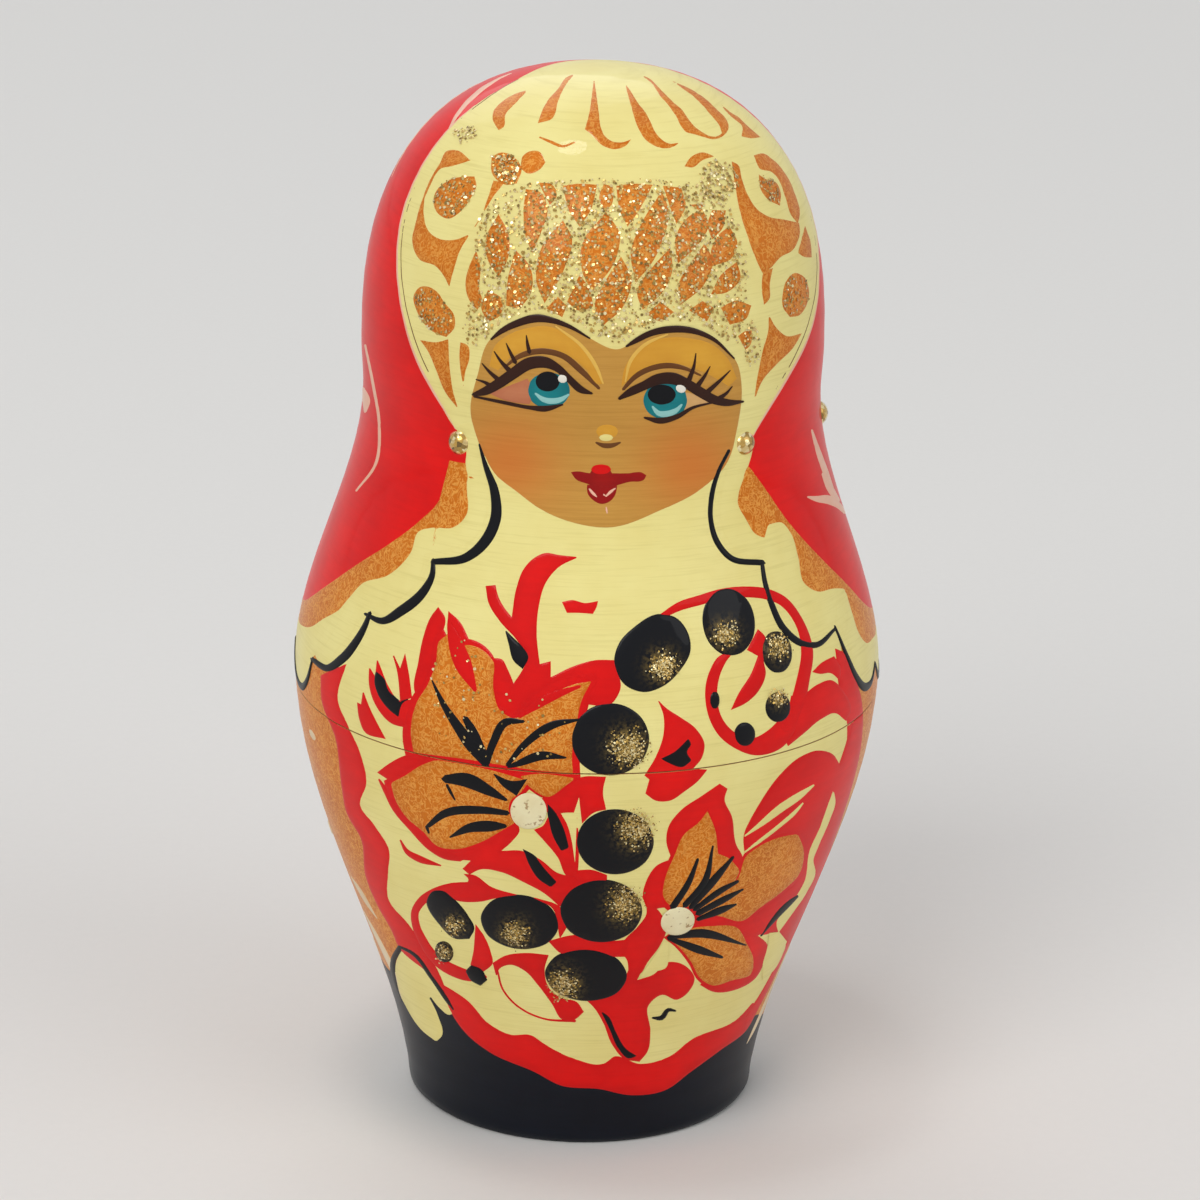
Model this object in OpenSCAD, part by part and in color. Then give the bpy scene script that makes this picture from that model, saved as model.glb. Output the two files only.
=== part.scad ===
// A nesting doll of turned wood: four hollow dolls that open at the belly, one inside the
// other, and a solid smallest doll. Millimetres, +Z up, the face looks along -Y, and the
// origin is at the middle of the outer doll's foot.

/* [Outer doll] */
// Radius of the foot
base_r = 18.1; // [16:0.1:20]
// Widest radius, at the belly
belly_r = 30.4; // [28:0.1:34]
// Height of the widest point of the belly
belly_z = 47.4; // [42:0.1:54]
// Height from the belly to the neck
shoulder_h = 29.9; // [26:0.1:34]
// Widest radius of the head
head_r = 23.6; // [20:0.1:27]
// How much narrower the neck is than the head
neck_dip = 0.2; // [0:0.05:1.5]
// Height from the neck to the widest point of the head
head_rise = 4.8; // [3:0.1:8]
// Height from the widest point of the head to the crown
crown_h = 27.9; // [22:0.1:32]
// Width that the side gains over the belly's height from its slope at the foot
foot_flare = 4.4; // [2:0.1:6]
// Chamfer round the underside of the foot
foot_edge = 0.5; // [0.3:0.05:0.8]

/* [Seam and lip] */
// How far the seam lies below the belly
seam_drop = 1.7; // [0:0.1:5]
// Wall of the top half round its socket
socket_wall = 2.3; // [1.8:0.1:3]
// Thickness of the standing lip
lip_t = 2.3; // [1.6:0.1:3]
// Height of the standing lip
lip_h = 7; // [5:0.1:9]
// Radial play of the lip in its socket
lip_play = 0.08; // [0.05:0.01:0.1]
// Free height above the lip inside the socket
lip_relief = 0.5; // [0.3:0.05:1]
// Chamfer on the seam edges and on the lip
seam_edge = 0.25; // [0.15:0.05:0.4]

/* [Walls and nesting] */
// Wall of the hollow halves
wall_t = 3.2; // [2.4:0.1:4]
// Thickness of the floor that the next doll stands on
floor_t = 3.5; // [2.5:0.1:5]
// Thickness of the wood at the crown
crown_t = 3.6; // [2.5:0.1:5]
// Free space between a doll and the next one inside it
nest_gap = 0.6; // [0.4:0.05:1.2]

/* [Glitter beads] */
// Radius of the ball that each dab is a slice of
bead_r = 1.4; // [1:0.1:2]
// How far a dab stands out of the wood
bead_stand = 0.8; // [0.5:0.05:1]
// Height of the ear drops
ear_z = 76.2; // [73:0.1:79]
// Angle of the left ear drop from the face's middle, to the doll's right hand side
ear_left_angle = 33.8; // [30:0.1:40]
// Angle of the right ear drop from the face's middle, to the doll's left hand side
ear_right_angle = 40.7; // [35:0.1:45]
// Height of the dab on the shawl
shawl_bead_z = 74.6; // [72:0.1:78]
// Angle of the dab on the shawl from the face's middle
shawl_bead_angle = 89; // [80:0.5:100]

/* [Hidden] */
$fn = 96;

// Squareness of the crown: 2 is an ellipse, more is fuller
crown_power = 2.45;
// Steps along each curve of the outline
foot_steps = 16;
shoulder_steps = 14;
head_steps = 4;
crown_steps = 18;
// Halvings that find how large the next doll can be
fit_halvings = 24;
// Facets round the doll where a dab is cut to its curve
seat_facets = 720;
// Direction of the face
face_angle = -90;

neck_r = head_r - neck_dip;
neck_z = belly_z + shoulder_h;
head_z = neck_z + head_rise;
doll_h = head_z + crown_h;
seam_z = belly_z - seam_drop;

// Smooth blend from 0 to 1, and the bump that carries a slope at its start
function blend(t) = t * t * (3 - 2 * t);
function bump(t) = t * (1 - t) * (1 - t);
function mix(a, b, t) = a + (b - a) * t;

// Outline of the full-size doll: radius at a height below the crown
function foot_r(t) = mix(base_r, belly_r, blend(t)) + foot_flare * bump(t);
function shoulder_r(t) = mix(belly_r, neck_r, blend(t));
function cheek_r(t) = mix(neck_r, head_r, blend(t));
function side_r(z) =
    z < belly_z ? foot_r(z / belly_z)
    : z < neck_z ? shoulder_r((z - belly_z) / shoulder_h)
    : z < head_z ? cheek_r((z - neck_z) / head_rise)
    : head_r;

// Heights of the outline's points, from the foot's chamfer to the head's widest point
side_heights = [
    foot_edge,
    for (i = [1 : foot_steps]) if (i * belly_z / foot_steps > foot_edge) i * belly_z / foot_steps,
    for (i = [1 : shoulder_steps]) belly_z + i * shoulder_h / shoulder_steps,
    for (i = [1 : head_steps]) neck_z + i * head_rise / head_steps
];

// Points of a crown of a given radius, height and starting height, from its rim to its top
function crown_points(r, h, z) = [
    for (i = [1 : crown_steps])
        let (angle = 90 * i / crown_steps)
        i == crown_steps ? [0, z + h]
        : [r * pow(cos(angle), 2 / crown_power), z + h * pow(sin(angle), 2 / crown_power)]
];

// Smaller dolls have thinner walls, halfway between the same wall and a wall to scale
function wall_share(share) = (1 + share) / 2;

// Sizes of a doll of a given share of the outer doll's size
function outline_r(share, z) = share * side_r(z / share);
function seam_r(share) = outline_r(share, share * seam_z);
function wall_of(share) = wall_t * wall_share(share);
function floor_of(share) = floor_t * wall_share(share);
function crown_of(share) = crown_t * wall_share(share);
function lip_height(share) = lip_h * wall_share(share);
function socket_r(share) = seam_r(share) - socket_wall * wall_share(share);
function lip_r(share) = socket_r(share) - lip_play;
function lip_inner_r(share) = lip_r(share) - lip_t * wall_share(share);
function socket_top_z(share) = share * seam_z + lip_height(share) + lip_relief;
function cup_r(share, z) = min(outline_r(share, z) - wall_of(share), lip_inner_r(share));
// The cap is bored wide enough for the head of the next doll to pass the neck
function neck_bore_r(inner_share) = inner_share * max(neck_r, head_r) + nest_gap;
function cap_r(share, inner_share, z) = min(
    max(outline_r(share, z) - wall_of(share), neck_bore_r(inner_share)),
    socket_r(share)
);

// The next doll fits inside one if it passes the lip,
// keeps clear of the cup's wall and leaves room under the crown
function clears_wall(share, inner_share) = len([
    for (z = side_heights)
        let (inner_r = outline_r(inner_share, inner_share * z))
        let (room_r = cup_r(share, inner_share * z + floor_of(share)) - nest_gap)
        if (z < seam_z && inner_r > room_r) z
]) == 0;
function fits_inside(share, inner_share) =
    inner_share * max(belly_r, head_r) <= lip_inner_r(share) - nest_gap
    && inner_share * doll_h <= share * doll_h - floor_of(share) - crown_of(share) - nest_gap
    && clears_wall(share, inner_share);
function next_size(share, low = 0, high = 1, halvings = fit_halvings) =
    halvings == 0 ? share * low
    : let (half = (low + high) / 2)
      fits_inside(share, share * half)
        ? next_size(share, half, high, halvings - 1)
        : next_size(share, low, half, halvings - 1);

// Size of each doll as a share of the outer one, and the height that it stands at
second_share = next_size(1);
third_share = next_size(second_share);
fourth_share = next_size(third_share);
smallest_share = next_size(fourth_share);
second_z = floor_of(1);
third_z = second_z + floor_of(second_share);
fourth_z = third_z + floor_of(third_share);
smallest_z = fourth_z + floor_of(fourth_share);

// Outline points between two heights of a doll
function side_points(share, low, high) = [
    for (z = side_heights) if (share * z > low && share * z < high) [share * side_r(z), share * z]
];
function reversed(points) = [for (i = [len(points) - 1 : -1 : 0]) points[i]];

// Foot and lower side, up to a given height
function foot_points(share, top) = concat(
    [[0, 0], [outline_r(share, 0) - foot_edge, 0], [outline_r(share, foot_edge), foot_edge]],
    side_points(share, foot_edge, top)
);
// Upper side and crown, from a given height
function cap_points(share, bottom) = concat(
    side_points(share, bottom, share * head_z + foot_edge),
    crown_points(share * head_r, share * crown_h, share * head_z)
);

// Whole turned outline of a doll
module turned_doll(share) {
    rotate_extrude() polygon(concat(
        foot_points(share, share * belly_z),
        cap_points(share, share * belly_z - foot_edge)
    ));
}

// Lower half: a cup with a flat floor, a flat seam face and a standing lip
module doll_bottom(share) {
    seam = share * seam_z;
    lip_top = seam + lip_height(share);
    hollow = [
        for (z = side_heights)
            let (hollow_r = outline_r(share, share * z) - wall_of(share))
            if (share * z > floor_of(share) && share * z < seam && hollow_r < lip_inner_r(share))
                [hollow_r, share * z]
    ];
    rotate_extrude() polygon(concat(
        foot_points(share, seam - seam_edge),
        [
            [outline_r(share, seam - seam_edge), seam - seam_edge],
            [seam_r(share) - seam_edge, seam],
            [lip_r(share), seam],
            [lip_r(share), lip_top - seam_edge],
            [lip_r(share) - seam_edge, lip_top],
            [lip_inner_r(share) + seam_edge, lip_top],
            [lip_inner_r(share), lip_top - seam_edge],
            [lip_inner_r(share), seam]
        ],
        reversed(hollow),
        [[cup_r(share, floor_of(share)), floor_of(share)], [0, floor_of(share)]]
    ));
}

// Upper half: a cap with a socket for the lip and a domed hollow for the next doll
module doll_top(share, inner_share) {
    seam = share * seam_z;
    step = socket_top_z(share);
    hollow_h = share * crown_h - crown_of(share);
    hollow = concat(
        [for (z = side_heights) if (share * z > step) [cap_r(share, inner_share, share * z), share * z]],
        crown_points(cap_r(share, inner_share, share * head_z), hollow_h, share * head_z)
    );
    rotate_extrude() polygon(concat(
        [
            [socket_r(share) + seam_edge, seam],
            [seam_r(share) - seam_edge, seam],
            [outline_r(share, seam + seam_edge), seam + seam_edge]
        ],
        cap_points(share, seam + seam_edge),
        reversed(hollow),
        [
            [cap_r(share, inner_share, step), step],
            [socket_r(share), step],
            [socket_r(share), seam + seam_edge]
        ]
    ));
}

// One dab: a slice of a ball that sits on the outer doll at a height and an angle
module bead(z, angle) {
    rotate([0, 0, face_angle + angle]) translate([side_r(z) + bead_stand - bead_r, 0, z]) sphere(r = bead_r);
}

module outer_doll_bottom() { color("orangered") doll_bottom(1); }
module outer_doll_top() { color("firebrick") doll_top(1, second_share); }
module glitter_beads() {
    color("gold") difference() {
        union() {
            bead(ear_z, -ear_left_angle);
            bead(ear_z, ear_right_angle);
            bead(shawl_bead_z, shawl_bead_angle);
        }
        turned_doll(1, $fn = seat_facets);
    }
}
module second_doll_bottom() { color("darkorange") translate([0, 0, second_z]) doll_bottom(second_share); }
module second_doll_top() { color("crimson") translate([0, 0, second_z]) doll_top(second_share, third_share); }
module third_doll_bottom() { color("red") translate([0, 0, third_z]) doll_bottom(third_share); }
module third_doll_top() { color("red") translate([0, 0, third_z]) doll_top(third_share, fourth_share); }
module fourth_doll_bottom() { color("red") translate([0, 0, fourth_z]) doll_bottom(fourth_share); }
module fourth_doll_top() { color("red") translate([0, 0, fourth_z]) doll_top(fourth_share, smallest_share); }
module smallest_doll() { color("red") translate([0, 0, smallest_z]) turned_doll(smallest_share); }

outer_doll_bottom();
outer_doll_top();
glitter_beads();
second_doll_bottom();
second_doll_top();
third_doll_bottom();
third_doll_top();
fourth_doll_bottom();
fourth_doll_top();
smallest_doll();
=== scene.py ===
import math

import bpy
import numpy as np
from mathutils import Matrix, Vector
from mathutils.geometry import delaunay_2d_cdt


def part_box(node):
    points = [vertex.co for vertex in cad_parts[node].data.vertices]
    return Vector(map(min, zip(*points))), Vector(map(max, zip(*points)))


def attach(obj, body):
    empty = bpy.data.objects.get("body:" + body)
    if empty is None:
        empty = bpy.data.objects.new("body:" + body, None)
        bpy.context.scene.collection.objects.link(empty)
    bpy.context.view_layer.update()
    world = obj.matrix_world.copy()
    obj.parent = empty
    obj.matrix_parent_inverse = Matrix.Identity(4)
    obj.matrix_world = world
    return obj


# The looks of a painted nesting doll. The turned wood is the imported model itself. Each coat of
# paint is a thin sheet that lies on the wood, and follows the turned outline of its doll.
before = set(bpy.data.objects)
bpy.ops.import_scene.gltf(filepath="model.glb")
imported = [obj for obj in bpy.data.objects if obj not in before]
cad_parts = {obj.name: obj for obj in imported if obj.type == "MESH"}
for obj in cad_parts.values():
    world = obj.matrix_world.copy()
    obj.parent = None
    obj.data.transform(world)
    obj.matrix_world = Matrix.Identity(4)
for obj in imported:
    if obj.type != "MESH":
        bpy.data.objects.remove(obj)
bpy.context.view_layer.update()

MM = 0.001

# The photograph's frame, and the camera that fits the doll's outline in it, with angles in radians
PHOTO_SIDE = 1200
PHOTO_MIDDLE = PHOTO_SIDE / 2
FOCAL_PX = 4535.8
CAMERA_PLACE = np.array([0, -450 * MM, 201.24 * MM])
CAMERA_PITCH = 0.3167
CAMERA_YAW = 0.0028
CAMERA_ROLL = 0.0196
PX_PER_MM = 10.0

# Paint: lift of the first coat over the wood, rise of each further coat, how deep a rim ends in
# the coat below, the gap that stays free at the seam, and the longest edge of a sheet's triangles
FIRST_LIFT = 0.09 * MM
COAT_RISE = 0.025 * MM
RIM_SINK = 0.003 * MM
SEAM_GAP = 0.06 * MM
LONGEST_EDGE = 1.1 * MM

# Rims and steps of the sheets, in millimetres on the doll
RIM_WIDTH = 0.22
POOL_WIDTH = 0.9
EDGE_STEP = 0.24
FILL_STEP = 0.85
MERGE_STEP = 1e-4

# Fineness in counts, angles and shares
RING_COLUMNS = 240
SEAM_SAMPLES = 241
OVAL_POINTS = 10
CORNER_TURN = math.radians(62)
CAP_TURNS = np.radians([60, 30, 0, -30, -60])
RIM_ROW_SHARES = (0.4, 1.0)
RIM_KEEP_SHARE = 0.85
RIM_ROOM_PARTS = 3
ROW_SHARE = math.sqrt(0.75)
RING_FLAT_SHARE = 0.97
RING_BEND_SHARE = 0.985
MOST_PAIRS = 2_000_000

# Smallest length and smallest square to divide by
TINY = 1e-9
TINY_SQUARE = 1e-12

# Order of the coats
GROUND, BORDER, LACE, BAND, LEAF, PETAL, VEIN, DOT, SHINE = range(9)

# Turned outline of the outer doll
OUTWARD_SHARE = 0.2
UPWARD_SHARE = 0.5
HEIGHT_DIGITS = 5


def outside_rings(node, crown):
    """Height and radius of each ring of vertices on the outside of a turned node."""
    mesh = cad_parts[node].data
    places = np.empty(len(mesh.vertices) * 3)
    normals = np.empty(len(mesh.vertices) * 3)
    mesh.vertices.foreach_get("co", places)
    mesh.vertices.foreach_get("normal", normals)
    places = places.reshape(-1, 3)
    normals = normals.reshape(-1, 3)
    radius = np.hypot(places[:, 0], places[:, 1])
    faces_out = (normals[:, :2] * places[:, :2]).sum(1) > OUTWARD_SHARE * radius
    faces_out &= radius > MM
    if crown:
        faces_out |= normals[:, 2] > UPWARD_SHARE
    rings = {}
    for height, reach in zip(places[faces_out, 2].round(HEIGHT_DIGITS), radius[faces_out]):
        rings[height] = max(reach, rings.get(height, 0))
    return sorted(rings.items())


SEAM_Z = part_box("outer_doll_top")[0].z
SEAM_ROOM = 0.16 * MM
CROWN_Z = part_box("outer_doll_top")[1].z
CROWN_ROOM = 0.01 * MM
outline_points = []
for height, reach in outside_rings("outer_doll_bottom", False):
    if height < SEAM_Z - SEAM_ROOM:
        outline_points.append((reach, height))
for height, reach in outside_rings("outer_doll_top", True):
    if SEAM_Z + SEAM_ROOM < height < CROWN_Z - CROWN_ROOM:
        outline_points.append((reach, height))


def unit_tangents(points, closed, corner):
    """Lengths of the steps between points, and the directions in and out of each point."""
    steps = np.roll(points, -1, 0) - points
    if not closed:
        steps = steps[:-1]
    lengths = np.maximum(np.linalg.norm(steps[:, :2], axis=1), TINY)
    units = steps / lengths[:, None]
    into = []
    out = []
    for here in range(len(points)):
        before = units[here - 1] if closed or here > 0 else units[0]
        after = units[here] if closed or here < len(units) else units[-1]
        behind = lengths[here - 1] if closed or here > 0 else lengths[0]
        ahead = lengths[here] if closed or here < len(lengths) else lengths[-1]
        cosine = np.clip(np.dot(before[:2], after[:2]), -1, 1)
        if math.acos(cosine) > corner:
            into.append(before)
            out.append(after)
        else:
            blend = (before * ahead + after * behind) / (ahead + behind)
            into.append(blend)
            out.append(blend)
    return lengths, np.array(into), np.array(out)


def smooth(points, step, closed=False, corner=CORNER_TURN):
    """A smooth line through points, with samples about a step apart. Sharp turns stay sharp."""
    points = np.asarray(points, float)
    lengths, into, out = unit_tangents(points, closed, corner)
    samples = []
    for here, length in enumerate(lengths):
        there = (here + 1) % len(points)
        count = max(1, round(length / step))
        share = (np.arange(count) / count)[:, None]
        samples.append(
            (2 * share**3 - 3 * share**2 + 1) * points[here]
            + (share**3 - 2 * share**2 + share) * length * out[here]
            + (3 * share**2 - 2 * share**3) * points[there]
            + (share**3 - share**2) * length * into[there]
        )
    if not closed:
        samples.append(points[-1:])
    return np.concatenate(samples)


OUTLINE_STEP = 0.1 * MM
last_r, last_z = outline_points[-1]
mirrored = outline_points + [(0, CROWN_Z), (-last_r, last_z)]
dense = smooth(mirrored, OUTLINE_STEP, corner=math.pi)
dense = dense[: np.argmax(dense[:, 0] < OUTLINE_STEP / 2)]
OUT_R, OUT_Z = dense[:, 0], dense[:, 1]
OUT_ARC = np.concatenate([[0], np.cumsum(np.hypot(np.diff(OUT_R), np.diff(OUT_Z)))])
slope = np.stack([np.gradient(OUT_R), np.gradient(OUT_Z)], 1)
slope /= np.linalg.norm(slope, axis=1)[:, None]
NORMAL_R, NORMAL_Z = slope[:, 1], -slope[:, 0]
TOP_ARC = OUT_ARC[-1]
HEAD_Z = 80 * MM
CROWN_START_Z = 84 * MM


def arc_at(height):
    """Way along the outline from the foot to a height below the crown."""
    return np.interp(height, OUT_Z, OUT_ARC)


def arc_of(radius, height):
    """Way along the outline to a point on it, also on the flat top of the crown."""
    on_crown = OUT_Z > HEAD_Z
    crown_arc = np.interp(height - radius, (OUT_Z - OUT_R)[on_crown], OUT_ARC[on_crown])
    return np.where(height > CROWN_START_Z, crown_arc, arc_at(height))


def surface(angle, arc, lift):
    """Points over the outer doll. An angle is measured from the face to its left hand side."""
    radius = np.interp(arc, OUT_ARC, OUT_R) + lift * np.interp(arc, OUT_ARC, NORMAL_R)
    height = np.interp(arc, OUT_ARC, OUT_Z) + lift * np.interp(arc, OUT_ARC, NORMAL_Z)
    return np.stack([radius * np.sin(angle), -radius * np.cos(angle), height], 1)


SEAM_LOW_ARC = float(arc_at(SEAM_Z - SEAM_GAP))
SEAM_HIGH_ARC = float(arc_at(SEAM_Z + SEAM_GAP))


# The camera, and the way from the photograph to the doll
LOOK = np.array([
    math.sin(CAMERA_YAW) * math.cos(CAMERA_PITCH),
    math.cos(CAMERA_YAW) * math.cos(CAMERA_PITCH),
    -math.sin(CAMERA_PITCH),
])
ACROSS = np.array([math.cos(CAMERA_YAW), -math.sin(CAMERA_YAW), 0])
ALOFT = np.cross(ACROSS, LOOK)
ROLL_COS, ROLL_SIN = math.cos(CAMERA_ROLL), math.sin(CAMERA_ROLL)
NEAREST, FURTHEST = 380 * MM, 580 * MM
RAY_STEPS = 220
RAY_HALVINGS = 24


def to_photo(places):
    """Pixels of points in space."""
    offset = places - CAMERA_PLACE
    depth = offset @ LOOK
    right = FOCAL_PX * (offset @ ACROSS) / depth
    down = -FOCAL_PX * (offset @ ALOFT) / depth
    column = PHOTO_MIDDLE + right * ROLL_COS - down * ROLL_SIN
    line = PHOTO_MIDDLE + right * ROLL_SIN + down * ROLL_COS
    return np.stack([column, line], 1)


def photo_to_doll(pixels):
    """Angle and arc on the outer doll of pixels, or of its nearest point where a pixel misses it."""
    column, line = (pixels - PHOTO_MIDDLE).T
    right = column * ROLL_COS + line * ROLL_SIN
    down = line * ROLL_COS - column * ROLL_SIN
    rays = FOCAL_PX * LOOK + right[:, None] * ACROSS - down[:, None] * ALOFT
    rays /= np.linalg.norm(rays, axis=1)[:, None]

    def room(way):
        place = CAMERA_PLACE + rays * way[:, None]
        radius = np.hypot(place[:, 0], place[:, 1])
        return radius - np.interp(place[:, 2], OUT_Z, OUT_R, right=-MM), place

    ways = np.linspace(NEAREST, FURTHEST, RAY_STEPS)
    rooms = np.stack([room(np.full(len(rays), way))[0] for way in ways])
    inside = rooms < 0
    hit = inside.any(0)
    first = np.where(hit, np.argmax(inside, 0), np.argmin(rooms, 0))
    low = ways[np.maximum(first - 1, 0)]
    high = ways[first]
    for _ in range(RAY_HALVINGS):
        middle = (low + high) / 2
        free = room(middle)[0] > 0
        low = np.where(hit & free, middle, low)
        high = np.where(hit & ~free, middle, high)
    place = room(high)[1]
    radius = np.hypot(place[:, 0], place[:, 1])
    return np.arctan2(place[:, 0], -place[:, 1]), arc_of(radius, place[:, 2])


# Charts: flat maps that shapes are drawn on
class PhotoChart:
    """Shapes drawn in pixels of the photograph."""

    per_mm = PX_PER_MM

    def __init__(self):
        turn = np.linspace(-math.pi / 2, math.pi / 2, SEAM_SAMPLES)
        self.seams = [
            to_photo(surface(turn, np.full(len(turn), arc), np.zeros(len(turn))))
            for arc in (SEAM_LOW_ARC, SEAM_HIGH_ARC)
        ]

    def to_doll(self, points):
        return photo_to_doll(points)


class WrapChart:
    """Shapes drawn in millimetres round the doll from an angle, and in millimetres of height."""

    per_mm = 1.0

    def __init__(self, middle_deg, radius_mm):
        self.middle = math.radians(middle_deg)
        self.radius = radius_mm
        reach = math.pi * radius_mm
        self.seams = []
        for arc in (SEAM_LOW_ARC, SEAM_HIGH_ARC):
            height = np.interp(arc, OUT_ARC, OUT_Z) / MM
            self.seams.append(np.array([[-reach, height], [reach, height]]))

    def to_doll(self, points):
        return self.middle + points[:, 0] / self.radius, arc_at(points[:, 1] * MM)

    def place(self, points):
        """Points given as degrees from the chart's middle and millimetres of height, with any widths."""
        placed = np.array(points, float)
        placed[:, 0] = np.radians(placed[:, 0]) * self.radius
        return placed


class CrownChart:
    """Shapes drawn as on the head seen from above, in millimetres along it from the top."""

    per_mm = 1.0
    seams = []

    def to_doll(self, points):
        turn = np.arctan2(points[:, 0], -points[:, 1])
        return turn, TOP_ARC - np.hypot(points[:, 0], points[:, 1]) * MM

    def place(self, points):
        """Points given as degrees from the face and millimetres of height, with any widths."""
        placed = np.array(points, float)
        turn = np.radians(placed[:, 0])
        way = (TOP_ARC - arc_at(placed[:, 1] * MM)) / MM
        placed[:, 0] = way * np.sin(turn)
        placed[:, 1] = -way * np.cos(turn)
        return placed


ROUND_RADIUS = 28
PHOTO = PhotoChart()
ROUND = WrapChart(0, ROUND_RADIUS)
CROWN = CrownChart()


# Shapes on a chart
def brush_loop(points, step):
    """Outline of a brush stroke through points that each have a width."""
    line = smooth(points, step)
    way = np.gradient(line[:, :2], axis=0)
    way /= np.maximum(np.linalg.norm(way, axis=1), TINY)[:, None]
    side = np.stack([-way[:, 1], way[:, 0]], 1)
    half = line[:, 2:3] / 2
    left = line[:, :2] + side * half
    right = line[:, :2] - side * half
    caps = []
    for end, sign in ((-1, 1), (0, -1)):
        turns = CAP_TURNS if half[end] > 2 * step else np.zeros(1)
        ahead = np.cos(turns)[:, None] * way[end] * sign
        aside = np.sin(turns)[:, None] * side[end] * sign
        caps.append(line[end, :2] + (ahead + aside) * half[end])
    return np.concatenate([left, caps[0], right[::-1], caps[1]])


def shape_loop(points, per_mm):
    """A closed line for a shape: an outline of pairs, or a brush stroke of points with widths."""
    step = EDGE_STEP * per_mm
    if len(points[0]) == 3:
        loop = brush_loop(points, step)
    else:
        loop = smooth(points, step, closed=True)
    after = np.roll(loop, -1, 0)
    area = (loop[:, 0] * after[:, 1] - after[:, 0] * loop[:, 1]).sum()
    return loop if area > 0 else loop[::-1]


def oval(x, y, half_width, half_height, tilt_deg=0.0, count=OVAL_POINTS):
    """Points of an ellipse."""
    tilt = math.radians(tilt_deg)
    points = []
    for number in range(count):
        turn = 2 * math.pi * number / count
        wide = half_width * math.cos(turn)
        tall = half_height * math.sin(turn)
        right = wide * math.cos(tilt) - tall * math.sin(tilt)
        down = wide * math.sin(tilt) + tall * math.cos(tilt)
        points.append((x + right, y + down))
    return points


def inside_loop(points, loop):
    """Which points lie inside a closed line."""
    end = np.roll(loop, -1, 0)
    x, y = points[:, :1], points[:, 1:2]
    spans = (loop[:, 1] > y) != (end[:, 1] > y)
    rise = np.where(end[:, 1] == loop[:, 1], TINY_SQUARE, end[:, 1] - loop[:, 1])
    crossing = loop[:, 0] + (y - loop[:, 1]) / rise * (end[:, 0] - loop[:, 0])
    return ((spans & (x < crossing)).sum(1) % 2).astype(bool)


def loop_distance(points, loop):
    """Distance of each point from a closed line."""
    along = np.roll(loop, -1, 0) - loop
    square = np.maximum((along**2).sum(1), TINY_SQUARE)
    chunks = max(1, len(points) * len(loop) // MOST_PAIRS + 1)
    found = []
    for chunk in np.array_split(points, chunks):
        offset = chunk[:, None, :] - loop[None]
        share = np.clip((offset * along).sum(2) / square, 0, 1)
        gap = offset - share[:, :, None] * along
        found.append(np.sqrt((gap**2).sum(2).min(1)))
    return np.concatenate(found)


def fill_points(loop, rim, step):
    """Points inside a closed line: two rows along the rim and an even filling."""
    along = np.roll(loop, -1, 0) - np.roll(loop, 1, 0)
    along /= np.maximum(np.linalg.norm(along, axis=1), TINY)[:, None]
    inward = np.stack([-along[:, 1], along[:, 0]], 1)
    rows = []
    for share in RIM_ROW_SHARES:
        row = loop + inward * rim * share
        keep = inside_loop(row, loop) & (loop_distance(row, loop) > RIM_KEEP_SHARE * rim * share)
        rows.append(row[keep])
    low, high = loop.min(0), loop.max(0)
    columns = np.arange(low[0], high[0], step)
    lines = np.arange(low[1], high[1], step * ROW_SHARE)
    grid = [
        np.stack([columns + (number % 2) * step / 2, np.full(len(columns), line)], 1)
        for number, line in enumerate(lines)
    ]
    if grid:
        grid = np.concatenate(grid)
        grid = grid[inside_loop(grid, loop)]
        if len(grid):
            rows.append(grid[loop_distance(grid, loop) > rim + step / RIM_ROOM_PARTS])
    return np.concatenate(rows)


class Canvas:
    """The sheets of one painting, on the outer doll's outline."""

    def __init__(self):
        self.sheets = {}

    def add(self, half, paint, angle, arc, lift, tone, triangles):
        if len(triangles):
            self.sheets.setdefault((half, paint), []).append((angle, arc, lift, tone, triangles))

    def add_cut(self, paint, angle, arc, lift, tone, triangles):
        """A sheet that may cross the seam: what lies in the seam's gap is left out."""
        middle = arc[triangles].mean(1)
        for half, chosen in (("top", middle > SEAM_HIGH_ARC), ("bottom", middle < SEAM_LOW_ARC)):
            used, index = np.unique(triangles[chosen], return_inverse=True)
            self.add(half, paint, angle[used], arc[used], lift[used], tone[used], index.reshape(-1, 3))


def coat_lift(coat):
    return FIRST_LIFT + COAT_RISE * coat


def ease(share):
    """A rise from 0 to 1 that begins and ends level."""
    share = np.clip(share, 0, 1)
    return share * share * (3 - 2 * share)


def bead(share):
    """A round rise from 0 to 1, steep at the rim as the edge of a stroke is."""
    return 1 - (1 - np.clip(share, 0, 1)) ** 2


def split_triangle(corners, middles):
    """The triangles that a triangle falls into when some of its edges are halved. -1 is no middle."""
    while middles.count(-1) < 3:
        left, right, top = corners
        under, beyond, near = middles
        if -1 not in middles:
            return [(left, under, near), (under, right, beyond), (near, beyond, top), (under, beyond, near)]
        if near == -1 and under != -1 and beyond != -1:
            return [(under, right, beyond), (left, under, beyond), (left, beyond, top)]
        if under != -1 and beyond == -1 and near == -1:
            return [(left, under, top), (under, right, top)]
        corners = (right, top, left)
        middles = (beyond, near, under)
    return [corners]


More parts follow.
